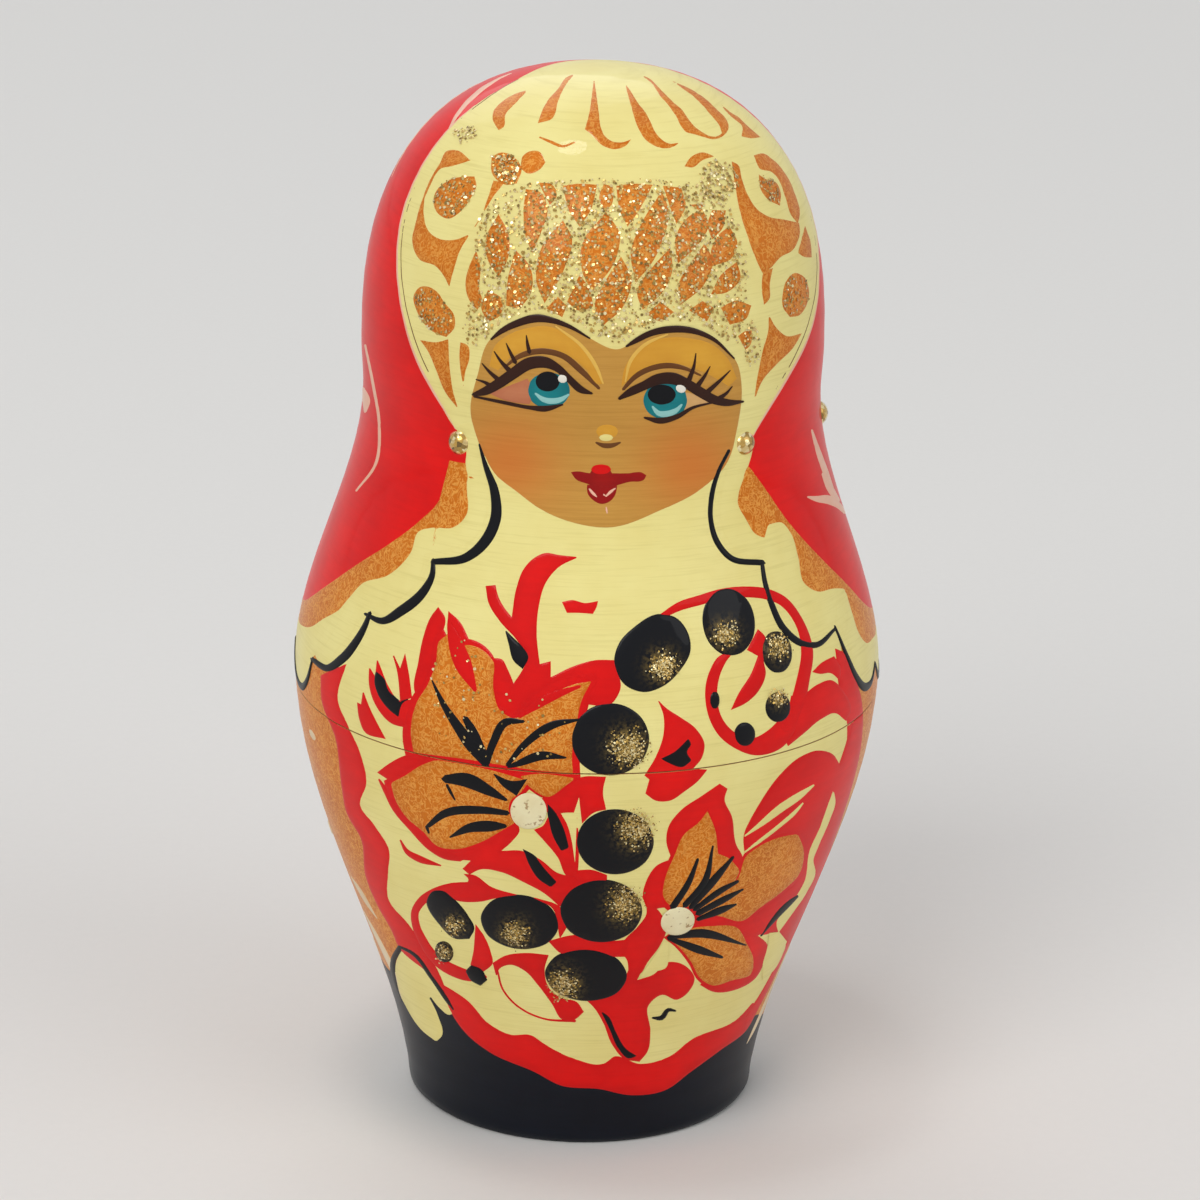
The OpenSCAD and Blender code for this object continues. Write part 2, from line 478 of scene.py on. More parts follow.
def split_long_edges(angle, arc, lift, tone, triangles):
    """Halves the edges of a sheet that are too long to follow the round wood."""
    while True:
        places = surface(angle, arc, np.zeros(len(arc)))
        ends = np.concatenate([triangles[:, [0, 1]], triangles[:, [1, 2]], triangles[:, [2, 0]]])
        pairs, index = np.unique(np.sort(ends, 1), axis=0, return_inverse=True)
        long = np.linalg.norm(places[pairs[:, 0]] - places[pairs[:, 1]], axis=1) > LONGEST_EDGE
        if not long.any():
            return angle, arc, lift, tone, triangles
        middles = np.full(len(pairs), -1)
        middles[long] = len(angle) + np.arange(long.sum())
        first, second = pairs[long].T
        x, y, z = (places[first] + places[second]).T / 2
        angle = np.append(angle, np.arctan2(x, -y))
        arc = np.append(arc, arc_of(np.hypot(x, y), z))
        lift = np.append(lift, (lift[first] + lift[second]) / 2)
        tone = np.append(tone, (tone[first] + tone[second]) / 2)
        by_triangle = middles[index.reshape(3, -1).T]
        halved = (by_triangle >= 0).any(1)
        made = [triangles[~halved]]
        for corners, edges in zip(triangles[halved].tolist(), by_triangle[halved].tolist()):
            made.append(np.array(split_triangle(tuple(corners), tuple(edges))))
        triangles = np.concatenate(made)


def paint_patch(canvas, paint, chart, points, coat, ground, dome=0.0, tone=None, rim=RIM_WIDTH):
    """One shape of paint. Its rim ends in the coat below it, and a dome swells towards its middle."""
    loop = shape_loop(points, chart.per_mm)
    corners = np.concatenate([loop, fill_points(loop, rim * chart.per_mm, FILL_STEP * chart.per_mm)])
    edges = []
    low, high = loop.min(0), loop.max(0)
    for seam in chart.seams:
        if (seam.max(0) >= low).all() and (seam.min(0) <= high).all():
            start = len(corners)
            corners = np.concatenate([corners, seam])
            edges += [(start + number, start + number + 1) for number in range(len(seam) - 1)]
    places = [Vector(corner) for corner in corners]
    rim_face = list(range(len(loop)))
    made = delaunay_2d_cdt(places, edges, [rim_face], 1, MERGE_STEP * chart.per_mm)
    spots, _, faces, _, _, sources = made
    triangles = np.array([face for face, source in zip(faces, sources) if source and len(face) == 3])
    if not len(triangles):
        return
    used, index = np.unique(triangles, return_inverse=True)
    spots = np.array([tuple(spot) for spot in spots])[used]
    triangles = index.reshape(-1, 3)
    deep = loop_distance(spots, loop) / chart.per_mm
    bottom = coat_lift(ground) - RIM_SINK
    lift = bottom + (coat_lift(coat) - bottom) * bead(deep / rim)
    if dome:
        lift = lift + dome * bead(deep / deep.max())
    angle, arc = chart.to_doll(spots)
    shade = 1 - ease(deep / POOL_WIDTH) if tone is None else tone(spots)
    canvas.add_cut(paint, *split_long_edges(angle, arc, lift, shade, triangles))


def paint_shapes(canvas, paint, coat, ground, shapes, chart=PHOTO, **more):
    """Every shape of a group."""
    for points in shapes.values():
        placed = points if chart is PHOTO else chart.place(points)
        paint_patch(canvas, paint, chart, placed, coat, ground, **more)


def paint_ring(canvas, half, paint, low, high, rows, coat, rim=False):
    """A band of paint all round, between two arcs that may change with the angle."""
    angles = np.linspace(-math.pi, math.pi, RING_COLUMNS, endpoint=False)
    low = np.broadcast_to(low(angles) if callable(low) else low, angles.shape)
    high = np.broadcast_to(high(angles) if callable(high) else high, angles.shape)
    shares = np.linspace(0, 1, rows)
    lifts = np.full(rows, coat_lift(coat))
    if rim:
        shares = np.concatenate([shares[:-1] * RING_FLAT_SHARE, [RING_BEND_SHARE, 1.0]])
        lifts = np.concatenate([lifts, [coat_lift(coat - 1) - RIM_SINK]])
    count = len(shares)
    arc = (low[None] + shares[:, None] * (high - low)[None]).ravel()
    angle = np.tile(angles, count)
    lift = np.repeat(lifts, RING_COLUMNS)
    starts = np.arange(count - 1)[:, None] * RING_COLUMNS
    columns = np.arange(RING_COLUMNS)
    first = (starts + columns).ravel()
    beside = (starts + (columns + 1) % RING_COLUMNS).ravel()
    triangles = np.concatenate([
        np.stack([first, beside, beside + RING_COLUMNS], 1),
        np.stack([first, beside + RING_COLUMNS, first + RING_COLUMNS], 1),
    ])
    canvas.add(half, paint, angle, arc, lift, np.zeros(len(arc)), triangles)


def paint_crown(canvas, paint, low, coat):
    """The small round cap that closes a skin at the top of the crown."""
    angles = np.linspace(-math.pi, math.pi, RING_COLUMNS, endpoint=False)
    angle = np.append(angles, 0)
    arc = np.append(np.full(RING_COLUMNS, low), TOP_ARC)
    lift = np.full(len(arc), coat_lift(coat))
    ring = np.arange(RING_COLUMNS)
    triangles = np.stack([ring, (ring + 1) % RING_COLUMNS, np.full(RING_COLUMNS, RING_COLUMNS)], 1)
    canvas.add("top", paint, angle, arc, lift, np.zeros(len(arc)), triangles)


# Shapes at the edges of the picture, as degrees from the face and millimetres of height
HEADDRESS = {
    "field": [
        (-34.8, 77.6), (-41.7, 81.1), (-47.8, 84.0), (-54.4, 88.5), (-59.1, 92.5), (-62.6, 96.4),
        (-64.4, 100.9), (-65.5, 104.5), (-66.5, 107.0), (-72.0, 108.9), (-100.0, 109.6), (-150.0, 109.68),
        (165.0, 109.6), (128.0, 109.3), (108.0, 108.7), (97.0, 107.3), (93.0, 105.0), (92.0, 101.5),
        (91.5, 98.0), (89.0, 95.0), (80.3, 91.4), (73.1, 87.7), (65.1, 84.8), (55.9, 82.1), (48.4, 79.3),
        (42.4, 76.4), (36.0, 75.0), (20.0, 80.0), (5.0, 80.0), (-15.0, 80.0), (-30.0, 76.5),
    ],
}
HEADDRESS_EDGE = {
    "left": [
        (-34.8, 77.6, 0.2), (-41.7, 81.1, 0.5), (-47.8, 84.0, 0.5), (-54.4, 88.5, 0.5),
        (-59.1, 92.5, 0.5), (-62.6, 96.4, 0.5), (-64.4, 100.9, 0.5), (-65.5, 104.5, 0.4),
        (-66.5, 107.0, 0.2),
    ],
    "right": [
        (42.4, 76.4, 0.2), (48.4, 79.3, 0.5), (55.9, 82.1, 0.5), (65.1, 84.8, 0.5), (73.1, 87.7, 0.5),
        (80.3, 91.4, 0.5), (89.0, 95.0, 0.5), (91.5, 98.0, 0.5), (92.0, 101.5, 0.4), (93.0, 105.0, 0.2),
    ],
}
HEADDRESS_LINE = {
    "left": [
        (-36.5, 79.5, 0.1), (-46.0, 84.4, 0.18), (-52.6, 88.8, 0.18), (-57.2, 92.6, 0.18),
        (-60.6, 96.4, 0.15), (-62.2, 99.5, 0.1),
    ],
    "crown": [(-64.5, 105.9, 0.1), (-65.0, 107.2, 0.18), (-68.0, 108.4, 0.15), (-74.0, 109.1, 0.1)],
    "right": [
        (50.0, 80.9, 0.1), (58.4, 83.8, 0.18), (67.0, 86.9, 0.18), (74.6, 90.2, 0.18), (80.0, 93.4, 0.15),
        (83.0, 96.0, 0.1),
    ],
}
CROWN_RIBBONS = {
    "inner": [
        (-66.0, 105.0, 0.4), (-72.0, 106.3, 0.9), (-79.0, 107.4, 1.3), (-88.0, 108.2, 1.2),
        (-100.0, 108.9, 0.4),
    ],
    "outer": [
        (-86.0, 98.8, 0.2), (-91.0, 101.2, 0.7), (-96.0, 103.6, 0.8), (-101.0, 105.4, 0.7),
        (-110.0, 107.2, 0.3),
    ],
}
LACE_ENDS = {
    "left": [
        (-57.0, 58.4), (-61.4, 56.6), (-66.0, 55.2), (-71.8, 53.4), (-80.0, 52.2), (-90.0, 51.4),
        (-87.0, 49.6), (-83.0, 47.6), (-78.0, 46.5), (-73.0, 46.7), (-69.5, 48.2), (-67.5, 50.7),
        (-63.0, 52.4),
    ],
    "right": [
        (62.0, 58.6), (68.2, 58.6), (68.6, 56.4), (69.4, 54.4), (72.6, 52.7), (79.0, 52.1), (86.0, 51.6),
        (78.0, 49.6), (74.0, 48.2), (69.5, 48.4), (65.0, 50.2), (62.0, 52.8), (59.4, 56.0),
    ],
}
SIDE_SCALLOPS = {
    "left": [
        (-67.5, 50.7, 0.4), (-69.5, 48.2, 0.7), (-73.0, 46.7, 0.8), (-78.0, 46.5, 0.8),
        (-83.0, 47.6, 0.7), (-87.0, 49.6, 0.4),
    ],
    "right": [
        (59.4, 56.2, 0.4), (62.0, 52.8, 0.7), (65.0, 50.2, 0.9), (69.5, 48.4, 0.9), (74.0, 48.2, 0.8),
        (78.0, 49.6, 0.4),
    ],
}
FRAME_SIDE = {
    "right": [
        (56.0, 12.0), (63.1, 15.1), (66.5, 18.2), (68.1, 22.2), (68.0, 24.7), (66.3, 28.4), (64.6, 33.0),
        (64.4, 36.7), (62.6, 40.4), (61.1, 44.6), (59.7, 47.3), (57.4, 49.7), (57.6, 54.4), (61.0, 53.4),
        (64.6, 50.2), (67.9, 47.2), (70.4, 43.6), (72.2, 38.0), (72.8, 33.0), (74.2, 28.0), (75.2, 23.0),
        (74.0, 18.5), (70.0, 14.4), (64.5, 11.2), (59.0, 9.4),
    ],
}
SIDE_PETALS = {
    "left_upper": [(-72.0, 25.4, 0.3), (-66.0, 24.2, 1.9), (-61.0, 22.4, 0.3)],
    "left_lower": [(-74.0, 21.0, 0.4), (-68.5, 18.8, 2.6), (-64.5, 16.0, 2.6), (-64.5, 12.2, 0.5)],
    "left_dot": [(-70.6, 42.1, 0.7), (-69.1, 42.1, 1.0), (-67.6, 42.1, 0.7)],
    "right_long": [(65.0, 7.4, 0.4), (70.0, 9.4, 2.2), (74.0, 12.0, 2.4), (76.5, 16.5, 0.4)],
}

# Shapes drawn over the photograph, in its pixels. A third number is a stroke's width
SCARF_STROKES = {
    "left_curl": [(366, 345, 2), (374, 385, 3), (380, 425, 3), (376, 465, 3), (357, 491, 2)],
    "left_petal": [(364, 388, 3), (367, 400, 8), (366, 412, 3)],
    "right_stem": [(811, 430, 2), (817, 450, 5), (824, 470, 6), (831, 488, 4)],
    "right_barb": [(807, 497, 2), (816, 499, 6), (828, 500, 9), (838, 506, 6), (844, 513, 3)],
    "right_petal": [(822, 474, 3), (829, 488, 7), (837, 501, 5)],
}
CROWN_RAYS = {
    "first": [
        (528, 91), (515, 95), (502, 103), (494, 112), (493, 120), (499, 131), (504, 128), (506, 115),
        (512, 108), (520, 100),
    ],
    "second": [
        (575, 75), (567, 78), (558, 90), (549, 100), (543, 110), (538, 124), (553, 119), (558, 103),
        (562, 93), (568, 83),
    ],
    "third": [
        (594, 78), (592, 95), (589, 115), (585, 130), (592, 136), (604, 147), (615, 150), (625, 147),
        (631, 140), (622, 143), (612, 142), (606, 138), (601, 129), (599, 115), (597, 100),
    ],
    "fourth": [
        (625, 84), (627, 93), (631, 107), (636, 124), (646, 141), (653, 146), (662, 149), (672, 148),
        (680, 143), (668, 144), (660, 139), (654, 131), (650, 122), (645, 113), (638, 104), (631, 93),
    ],
    "fifth": [
        (641, 76), (652, 85), (660, 97), (668, 106), (675, 116), (686, 133), (694, 135), (704, 138),
        (712, 140), (721, 138), (728, 128), (726, 121), (723, 132), (716, 137), (710, 137), (702, 133),
        (694, 127), (688, 120), (682, 111), (674, 104), (658, 88), (650, 80),
    ],
    "sixth": [
        (672, 82), (684, 87), (697, 94), (710, 104), (718, 112), (725, 119), (728, 126), (722, 137),
        (719, 127), (714, 120), (707, 112), (700, 104), (690, 95), (680, 88),
    ],
    "seventh": [
        (720, 105), (730, 113), (738, 118), (745, 125), (753, 132), (760, 138), (750, 139), (741, 137),
        (741, 126), (735, 121), (727, 114),
    ],
    "scroll": [(540, 138, 1.5), (552, 143, 3), (562, 147, 3), (575, 143, 1.5)],
}
SIDE_LOOPS = {
    "left_crescent": [
        (471, 161), (458, 151), (447, 152), (441, 163), (432, 178), (423, 200), (416, 225), (413, 242),
        (421, 260), (436, 266), (445, 277), (450, 287), (455, 268), (462, 248), (471, 234), (455, 240),
        (440, 239), (430, 232), (425, 218), (425, 203), (432, 184), (442, 169), (452, 167),
    ],
    "left_strip": [
        (466, 240), (482, 215), (491, 190), (494, 181), (505, 183), (494, 197), (482, 217), (474, 230),
    ],
    "left_eye": [
        (449, 181), (465, 177), (475, 177), (477, 186), (471, 199), (460, 213), (449, 219), (438, 213),
        (434, 201), (438, 190),
    ],
    "left_patch": [(492, 157), (502, 153), (515, 158), (522, 170), (517, 184), (505, 185), (493, 175)],
    "left_spot": [(523, 157), (530, 152), (539, 152), (546, 163), (540, 170), (528, 174), (521, 169)],
    "left_low_eye": [
        (415, 294), (421, 287), (430, 287), (438, 292), (445, 302), (455, 316), (455, 328), (447, 337),
        (436, 333), (426, 325), (419, 314),
    ],
    "left_low_wedge": [
        (421, 340), (438, 342), (449, 339), (450, 360), (454, 392), (459, 409), (446, 392), (436, 368),
        (428, 350),
    ],
    "left_low_strip": [
        (461, 342), (468, 345), (470, 358), (466, 372), (464, 386), (461, 370), (460, 355),
    ],
    "left_gap": [
        (477, 250), (481, 268), (480, 290), (483, 302), (478, 310), (471, 302), (466, 284), (470, 266),
    ],
    "right_crescent": [
        (753, 156), (762, 154), (772, 160), (785, 175), (795, 197), (799, 214), (797, 224), (791, 217),
        (785, 200), (778, 181), (770, 172), (760, 170),
    ],
    "right_eye": [(758, 175), (766, 180), (774, 182), (780, 195), (779, 206), (770, 202), (760, 190)],
    "right_field": [
        (731, 162), (737, 165), (741, 179), (747, 195), (756, 209), (768, 217), (785, 220), (798, 223),
        (799, 232), (791, 251), (780, 257), (770, 268), (762, 274), (755, 259), (747, 237), (740, 215),
        (735, 190),
    ],
    "right_strip": [(804, 226), (809, 240), (811, 258), (803, 257), (797, 253), (801, 237)],
    "right_low_eye": [
        (782, 292), (786, 280), (794, 273), (802, 276), (808, 290), (806, 304), (797, 316), (789, 317),
        (782, 307),
    ],
    "right_gap": [(763, 272), (772, 268), (769, 284), (768, 300), (763, 305), (761, 286)],
    "right_low_wedge": [
        (768, 315), (776, 328), (786, 336), (801, 333), (792, 348), (776, 364), (762, 380), (753, 402),
        (756, 380), (762, 350), (767, 332),
    ],
    "right_spot": [(737, 336), (744, 331), (751, 330), (750, 344), (745, 350)],
    "right_arc": [(684, 167), (690, 158), (702, 153), (714, 157), (702, 161), (692, 168)],
}
LATTICE = {
    "high_1": [(527, 193), (540, 196), (546, 210), (540, 232), (533, 249), (527, 235), (525, 215)],
    "high_2": [(565, 188), (580, 186), (595, 187), (590, 208), (580, 224), (571, 211)],
    "high_3": [(618, 188), (634, 186), (650, 187), (640, 206), (628, 224), (621, 209)],
    "high_4": [(660, 197), (666, 214), (661, 240), (650, 262), (637, 277), (633, 250), (642, 226)],
    "high_5": [(700, 212), (706, 225), (698, 242), (679, 260), (677, 238), (686, 221)],
    "high_6": [(728, 229), (735, 243), (730, 257), (713, 264), (712, 250), (719, 236)],
    "middle_0": [(499, 218), (508, 238), (507, 258), (499, 273), (490, 260), (488, 240)],
    "middle_1": [(562, 225), (570, 242), (564, 266), (546, 298), (539, 280), (543, 250)],
    "middle_2": [(605, 217), (617, 236), (613, 260), (593, 287), (584, 268), (584, 246)],
    "middle_3": [(668, 252), (670, 271), (662, 290), (644, 306), (639, 291), (650, 272)],
    "middle_4": [(703, 247), (710, 263), (702, 284), (682, 301), (680, 284), (691, 264)],
    "middle_5": [(735, 264), (738, 279), (726, 291), (712, 293), (720, 277)],
    "low_0": [(516, 254), (529, 269), (530, 291), (520, 306), (508, 303), (509, 283)],
    "low_1": [(580, 277), (589, 291), (592, 305), (580, 309), (569, 301)],
    "low_2": [(620, 261), (629, 280), (621, 306), (605, 321), (597, 305), (606, 283)],
    "low_3": [(722, 308), (735, 302), (749, 306), (744, 318), (730, 323)],
    "low_4": [(489, 292), (501, 300), (500, 314), (489, 320), (483, 308)],
    "brow_1": [(548, 308), (558, 298), (566, 306), (562, 316)],
    "brow_2": [(648, 314), (660, 303), (672, 312), (660, 320)],
    "brow_3": [(690, 310), (702, 302), (712, 308), (706, 320)],
    "top_1": [(540, 184), (552, 186), (556, 196), (550, 204)],
    "top_2": [(604, 186), (612, 188), (611, 204), (605, 210), (600, 198)],
    "top_3": [(664, 188), (680, 190), (684, 205), (676, 222), (670, 206)],
    "top_4": [(690, 205), (704, 205), (698, 210)],
    "top_5": [(712, 212), (724, 212), (722, 226), (712, 238), (708, 224)],
}
FACE = {
    "field": [
        (490, 340), (512, 325), (540, 318), (565, 323), (590, 338), (617, 349), (640, 338), (670, 329),
        (700, 331), (722, 346), (736, 362), (741, 387), (738, 420), (725, 466), (700, 490), (660, 511),
        (610, 528), (569, 522), (541, 510), (518, 493), (496, 475), (481, 447), (471, 408), (478, 375),
    ],
}
CHEEKS = [(509, 461), (692, 465)]
CHEEK_REACH = 34
EYESHADOW = {
    "left": [
        (490, 366), (496, 345), (510, 334), (527, 328), (546, 326), (570, 335), (592, 358), (604, 383),
        (598, 384), (585, 368), (566, 354), (544, 348), (527, 350), (510, 358), (499, 370),
    ],
    "right": [
        (621, 386), (624, 369), (631, 356), (646, 343), (670, 337), (690, 338), (711, 344), (726, 357),
        (736, 378), (728, 386), (713, 377), (696, 369), (670, 363), (648, 367), (634, 376),
    ],
}
EYESHADOW_LIGHTS = {
    "left": [(556, 326, 1.5), (582, 346, 3.5), (597, 368, 3.5), (603, 383, 1.5)],
    "right": [(625, 381, 1.5), (630, 361, 3.5), (645, 344, 3.5), (667, 334, 1.5)],
}
EYE_CORNERS = {
    "left": [(490, 393), (508, 386), (528, 378), (534, 392), (530, 404), (506, 400)],
}
EYE_CREAMS = {
    "right": [(684, 392), (696, 394), (711, 401), (695, 407), (682, 413)],
}
IRISES = {
    "left": oval(549, 390, 21, 18),
    "right": oval(665, 400, 22, 19),
}
PUPILS = {
    "left": oval(548, 381, 12, 10),
    "right": oval(661, 394, 14, 10),
}
EYE_GLINTS = {
    "left": [(536, 393, 2), (544, 399, 5), (561, 399, 5), (569, 394, 2)],
    "right": [(652, 406, 2), (657, 412, 5), (675, 410, 5), (681, 404, 2)],
}
EYE_LIGHTS = {
    "left": oval(563, 378, 4.8, 4.4),
    "right": oval(680, 388, 5.2, 4.2, 20),
}
DARK_LINES = {
    "left_brow": [
        (492, 339, 2), (502, 331, 5), (518, 323, 7), (539, 318, 8), (552, 320, 6), (569, 326, 4),
        (590, 338, 1.5),
    ],
    "right_brow": [
        (626, 346, 2), (636, 340, 5), (650, 333, 6), (670, 329, 7), (690, 330, 6), (711, 338, 4),
        (733, 358, 1.5),
    ],
    "left_lid": [
        (474, 394, 3), (485, 391, 8), (498, 384, 10), (514, 373, 11), (530, 363, 12), (546, 362, 11),
        (557, 367, 8), (570, 379, 7), (581, 389, 7), (592, 393, 2),
    ],
    "right_lid": [
        (619, 398, 3), (631, 391, 8), (644, 385, 9), (657, 379, 11), (672, 378, 12), (687, 384, 10),
        (700, 392, 10), (713, 399, 9), (726, 402, 7), (742, 401, 2),
    ],
    "left_low_lid": [(475, 396, 2), (505, 402, 3.5), (531, 407, 4), (545, 408, 6), (563, 404, 1.5)],
    "right_low_lid": [(644, 417, 2), (659, 420, 6), (676, 416, 5), (692, 407, 3), (712, 402, 1.5)],
    "lash_1": [(530, 352, 4), (528, 343, 3), (527, 335, 1)],
    "lash_2": [(516, 362, 4), (511, 352, 3), (507, 343, 1)],
    "lash_3": [(510, 370, 5), (501, 360, 3), (495, 351, 1)],
    "lash_4": [(500, 380, 5), (490, 371, 3), (483, 363, 1)],
    "lash_5": [(494, 387, 5), (486, 382, 3), (477, 379, 1)],
    "lash_6": [(688, 380, 5), (693, 366, 3), (695, 353, 1)],
    "lash_7": [(697, 385, 5), (704, 375, 3), (709, 366, 1)],
    "lash_8": [(707, 391, 5), (719, 380, 3), (729, 370, 1)],
    "lash_9": [(716, 399, 5), (725, 393, 3), (731, 386, 1)],
}
CREASES = {
    "left": [(506, 366, 2), (520, 356, 5), (540, 351, 6), (562, 355, 6), (582, 371, 6), (599, 388, 3)],
    "right": [(623, 389, 3), (636, 375, 6), (650, 368, 6), (668, 365, 6), (684, 368, 4), (700, 375, 2)],
    "nose": [(596, 442, 2), (603, 445, 5), (612, 445, 5), (620, 442, 2)],
}
LIPS = {
    "upper": [
        (571, 472), (575, 471), (590, 473), (593, 467), (601, 464), (609, 467), (612, 473), (628, 473),
        (641, 472), (646, 475), (644, 479), (628, 482), (618, 485), (602, 489), (588, 484), (576, 479),
    ],
    "lower": [
        (587, 484), (602, 486), (617, 484), (616, 493), (610, 501), (602, 504), (593, 500), (587, 492),
    ],
}
LIP_BOW = {"middle": oval(601, 469, 10, 5)}
LIP_LIGHTS = {
    "left": [(589, 488, 1.5), (592, 492, 3.2), (597, 497, 1.2)],
    "right": [(603, 494, 1.5), (606, 496, 2), (610, 492, 3), (615, 488, 1.5)],
    "chin": [(606, 507, 1), (606.5, 510, 1.8), (607, 513, 1)],
}
NOSE_DAB = {"bridge": oval(607, 431, 11, 7)}
NOSE_LIGHT = {"tip": oval(606, 437, 7, 3.5)}

SHAWL_EDGE_LEFT = [(450, 460), (442, 496), (422, 519), (394, 541), (360, 563), (327, 586), (307, 600)]
SHAWL_EDGE_RIGHT = [(752, 471), (767, 492), (784, 517), (805, 542), (827, 565), (844, 582), (863, 603)]
LACE_SHAPES = {
    "left": [
        (458, 424), (466, 440), (466, 465), (467, 495), (467, 513), (453, 527), (434, 527), (419, 531),
        (411, 552), (388, 575), (363, 583), (350, 597), (338, 611), (326, 621), (318, 640), (316, 657),
        (327, 669), (343, 659), (357, 642), (370, 615), (383, 621), (402, 611), (425, 592), (434, 561),
        (450, 565), (470, 556), (486, 541), (496, 519), (495, 491), (486, 465), (481, 446), (474, 420),
    ],
    "right": [
        (750, 436), (744, 477), (739, 492), (738, 503), (746, 519), (756, 534), (763, 537), (767, 524),
        (781, 522), (790, 532), (798, 557), (805, 584), (817, 591), (832, 588), (844, 588), (848, 605),
        (848, 628), (842, 649), (834, 629), (827, 637), (813, 646), (800, 643), (782, 628), (770, 603),
        (761, 563), (746, 567), (729, 557), (716, 542), (710, 519), (711, 496), (717, 473), (728, 450),
        (736, 424),
    ],
}
APRON = {
    "field": [
        (472, 440), (484, 480), (484, 515), (474, 535), (444, 548), (424, 552), (416, 580), (396, 598),
        (364, 603), (350, 632), (332, 655), (331, 690), (333, 710), (345, 740), (355, 775), (352, 800),
        (366, 830), (377, 860), (378, 888), (390, 912), (404, 936), (440, 982), (466, 1010), (485, 1038),
        (520, 1048), (548, 1064), (590, 1076), (640, 1080), (672, 1072), (700, 1050), (742, 1024),
        (762, 992), (790, 935), (812, 880), (830, 838), (846, 790), (853, 745), (853, 715), (848, 690),
        (842, 655), (836, 615), (818, 628), (800, 628), (788, 612), (776, 580), (764, 550), (746, 553),
        (728, 536), (722, 510), (728, 473), (736, 440), (610, 480),
    ],
}
SCALLOPS = {
    "left_neck": [
        (480, 444, 2), (486, 465, 5), (495, 491, 9), (496, 519, 11), (486, 541, 11), (466, 558, 9),
        (434, 562, 6),
    ],
    "left_second": [
        (434, 560, 4), (433, 575, 6), (424, 592, 9), (402, 611, 10), (383, 621, 7), (366, 614, 3),
    ],
    "left_third": [
        (371, 613, 4), (366, 626, 6), (357, 642, 8), (343, 659, 9), (328, 668, 7), (313, 659, 4),
    ],
    "right_neck": [
        (728, 450, 4), (717, 473, 4.5), (711, 496, 5), (710, 519, 5), (717, 543, 6), (730, 558, 6),
        (762, 563, 6),
    ],
    "right_second": [
        (761, 562, 4), (764, 582, 5), (771, 605, 6), (783, 629, 7), (800, 643, 7), (815, 645, 6),
        (834, 629, 3),
    ],
}
RED_FRAME = {
    "left": [
        (349, 662), (340, 700), (350, 725), (363, 755), (368, 785), (362, 803), (376, 824), (391, 850),
        (390, 872), (390, 897), (411, 924), (447, 987), (452, 1004), (430, 975), (400, 948), (392, 930),
        (378, 905), (366, 875), (362, 840), (347, 812), (342, 785), (336, 738), (322, 700), (321, 675),
    ],
    "bottom": [
        (440, 980), (470, 1000), (490, 1022), (512, 1033), (530, 1033), (548, 1044), (572, 1056),
        (605, 1061), (613, 1055), (640, 1062), (668, 1055), (690, 1038), (735, 1018), (752, 1000),
        (759, 1006), (745, 1031), (720, 1050), (690, 1072), (665, 1090), (630, 1095), (600, 1089),
        (560, 1085), (535, 1072), (490, 1052), (468, 1035), (447, 1003),
    ],
}
FOOT_PETALS = {
    "left_fork": [
        (404, 947), (398, 958), (396, 982), (406, 1006), (422, 1030), (437, 1042), (443, 1036),
        (439, 1014), (431, 997), (440, 1008), (450, 1015), (457, 1012), (443, 986), (422, 958),
        (411, 948),
    ],
}
FOOT_PETAL_LINES = {
    "left": [(403, 1002, 2), (397, 985, 5), (394, 960, 6), (402, 945, 6)],
    "right": [(401, 946, 5), (413, 952, 6), (433, 977, 6), (448, 999, 6), (459, 1016, 2)],
}
LEFT_LEAVES = {
    "spike_left": [
        (439, 607), (446, 618), (443, 635), (438, 660), (430, 682), (419, 702), (415, 690), (419, 662),
        (424, 637), (432, 616),
    ],
    "spike_right": [
        (449, 611), (460, 621), (470, 640), (479, 657), (480, 681), (465, 669), (454, 652), (448, 632),
    ],
    "outer_a": [
        (391, 647), (398, 672), (401, 701), (413, 698), (410, 675), (406, 653), (401, 668),
    ],
    "outer_b": [
        (370, 666), (370, 685), (376, 704), (392, 723), (412, 729), (437, 743), (428, 726), (416, 706),
        (413, 699), (400, 700), (390, 687), (382, 668), (378, 658), (376, 676),
    ],
    "outer_c": [
        (358, 702), (360, 718), (366, 732), (387, 739), (380, 726), (371, 708), (364, 690), (362, 704),
    ],
    "outer_d": [(403, 741), (416, 738), (430, 743), (442, 749), (425, 753), (411, 749)],
    "outer_e": [
        (378, 772), (390, 763), (410, 754), (428, 755), (436, 767), (421, 765), (404, 775), (393, 782),
        (384, 776),
    ],
    "under": [
        (380, 779, 2), (388, 792, 6), (396, 806, 8), (414, 827, 9), (434, 846, 11), (446, 853, 11),
        (462, 857, 8),
    ],
    "dash": [(401, 839, 1.5), (408, 851, 5), (420, 858, 7), (442, 865, 1.5)],
}
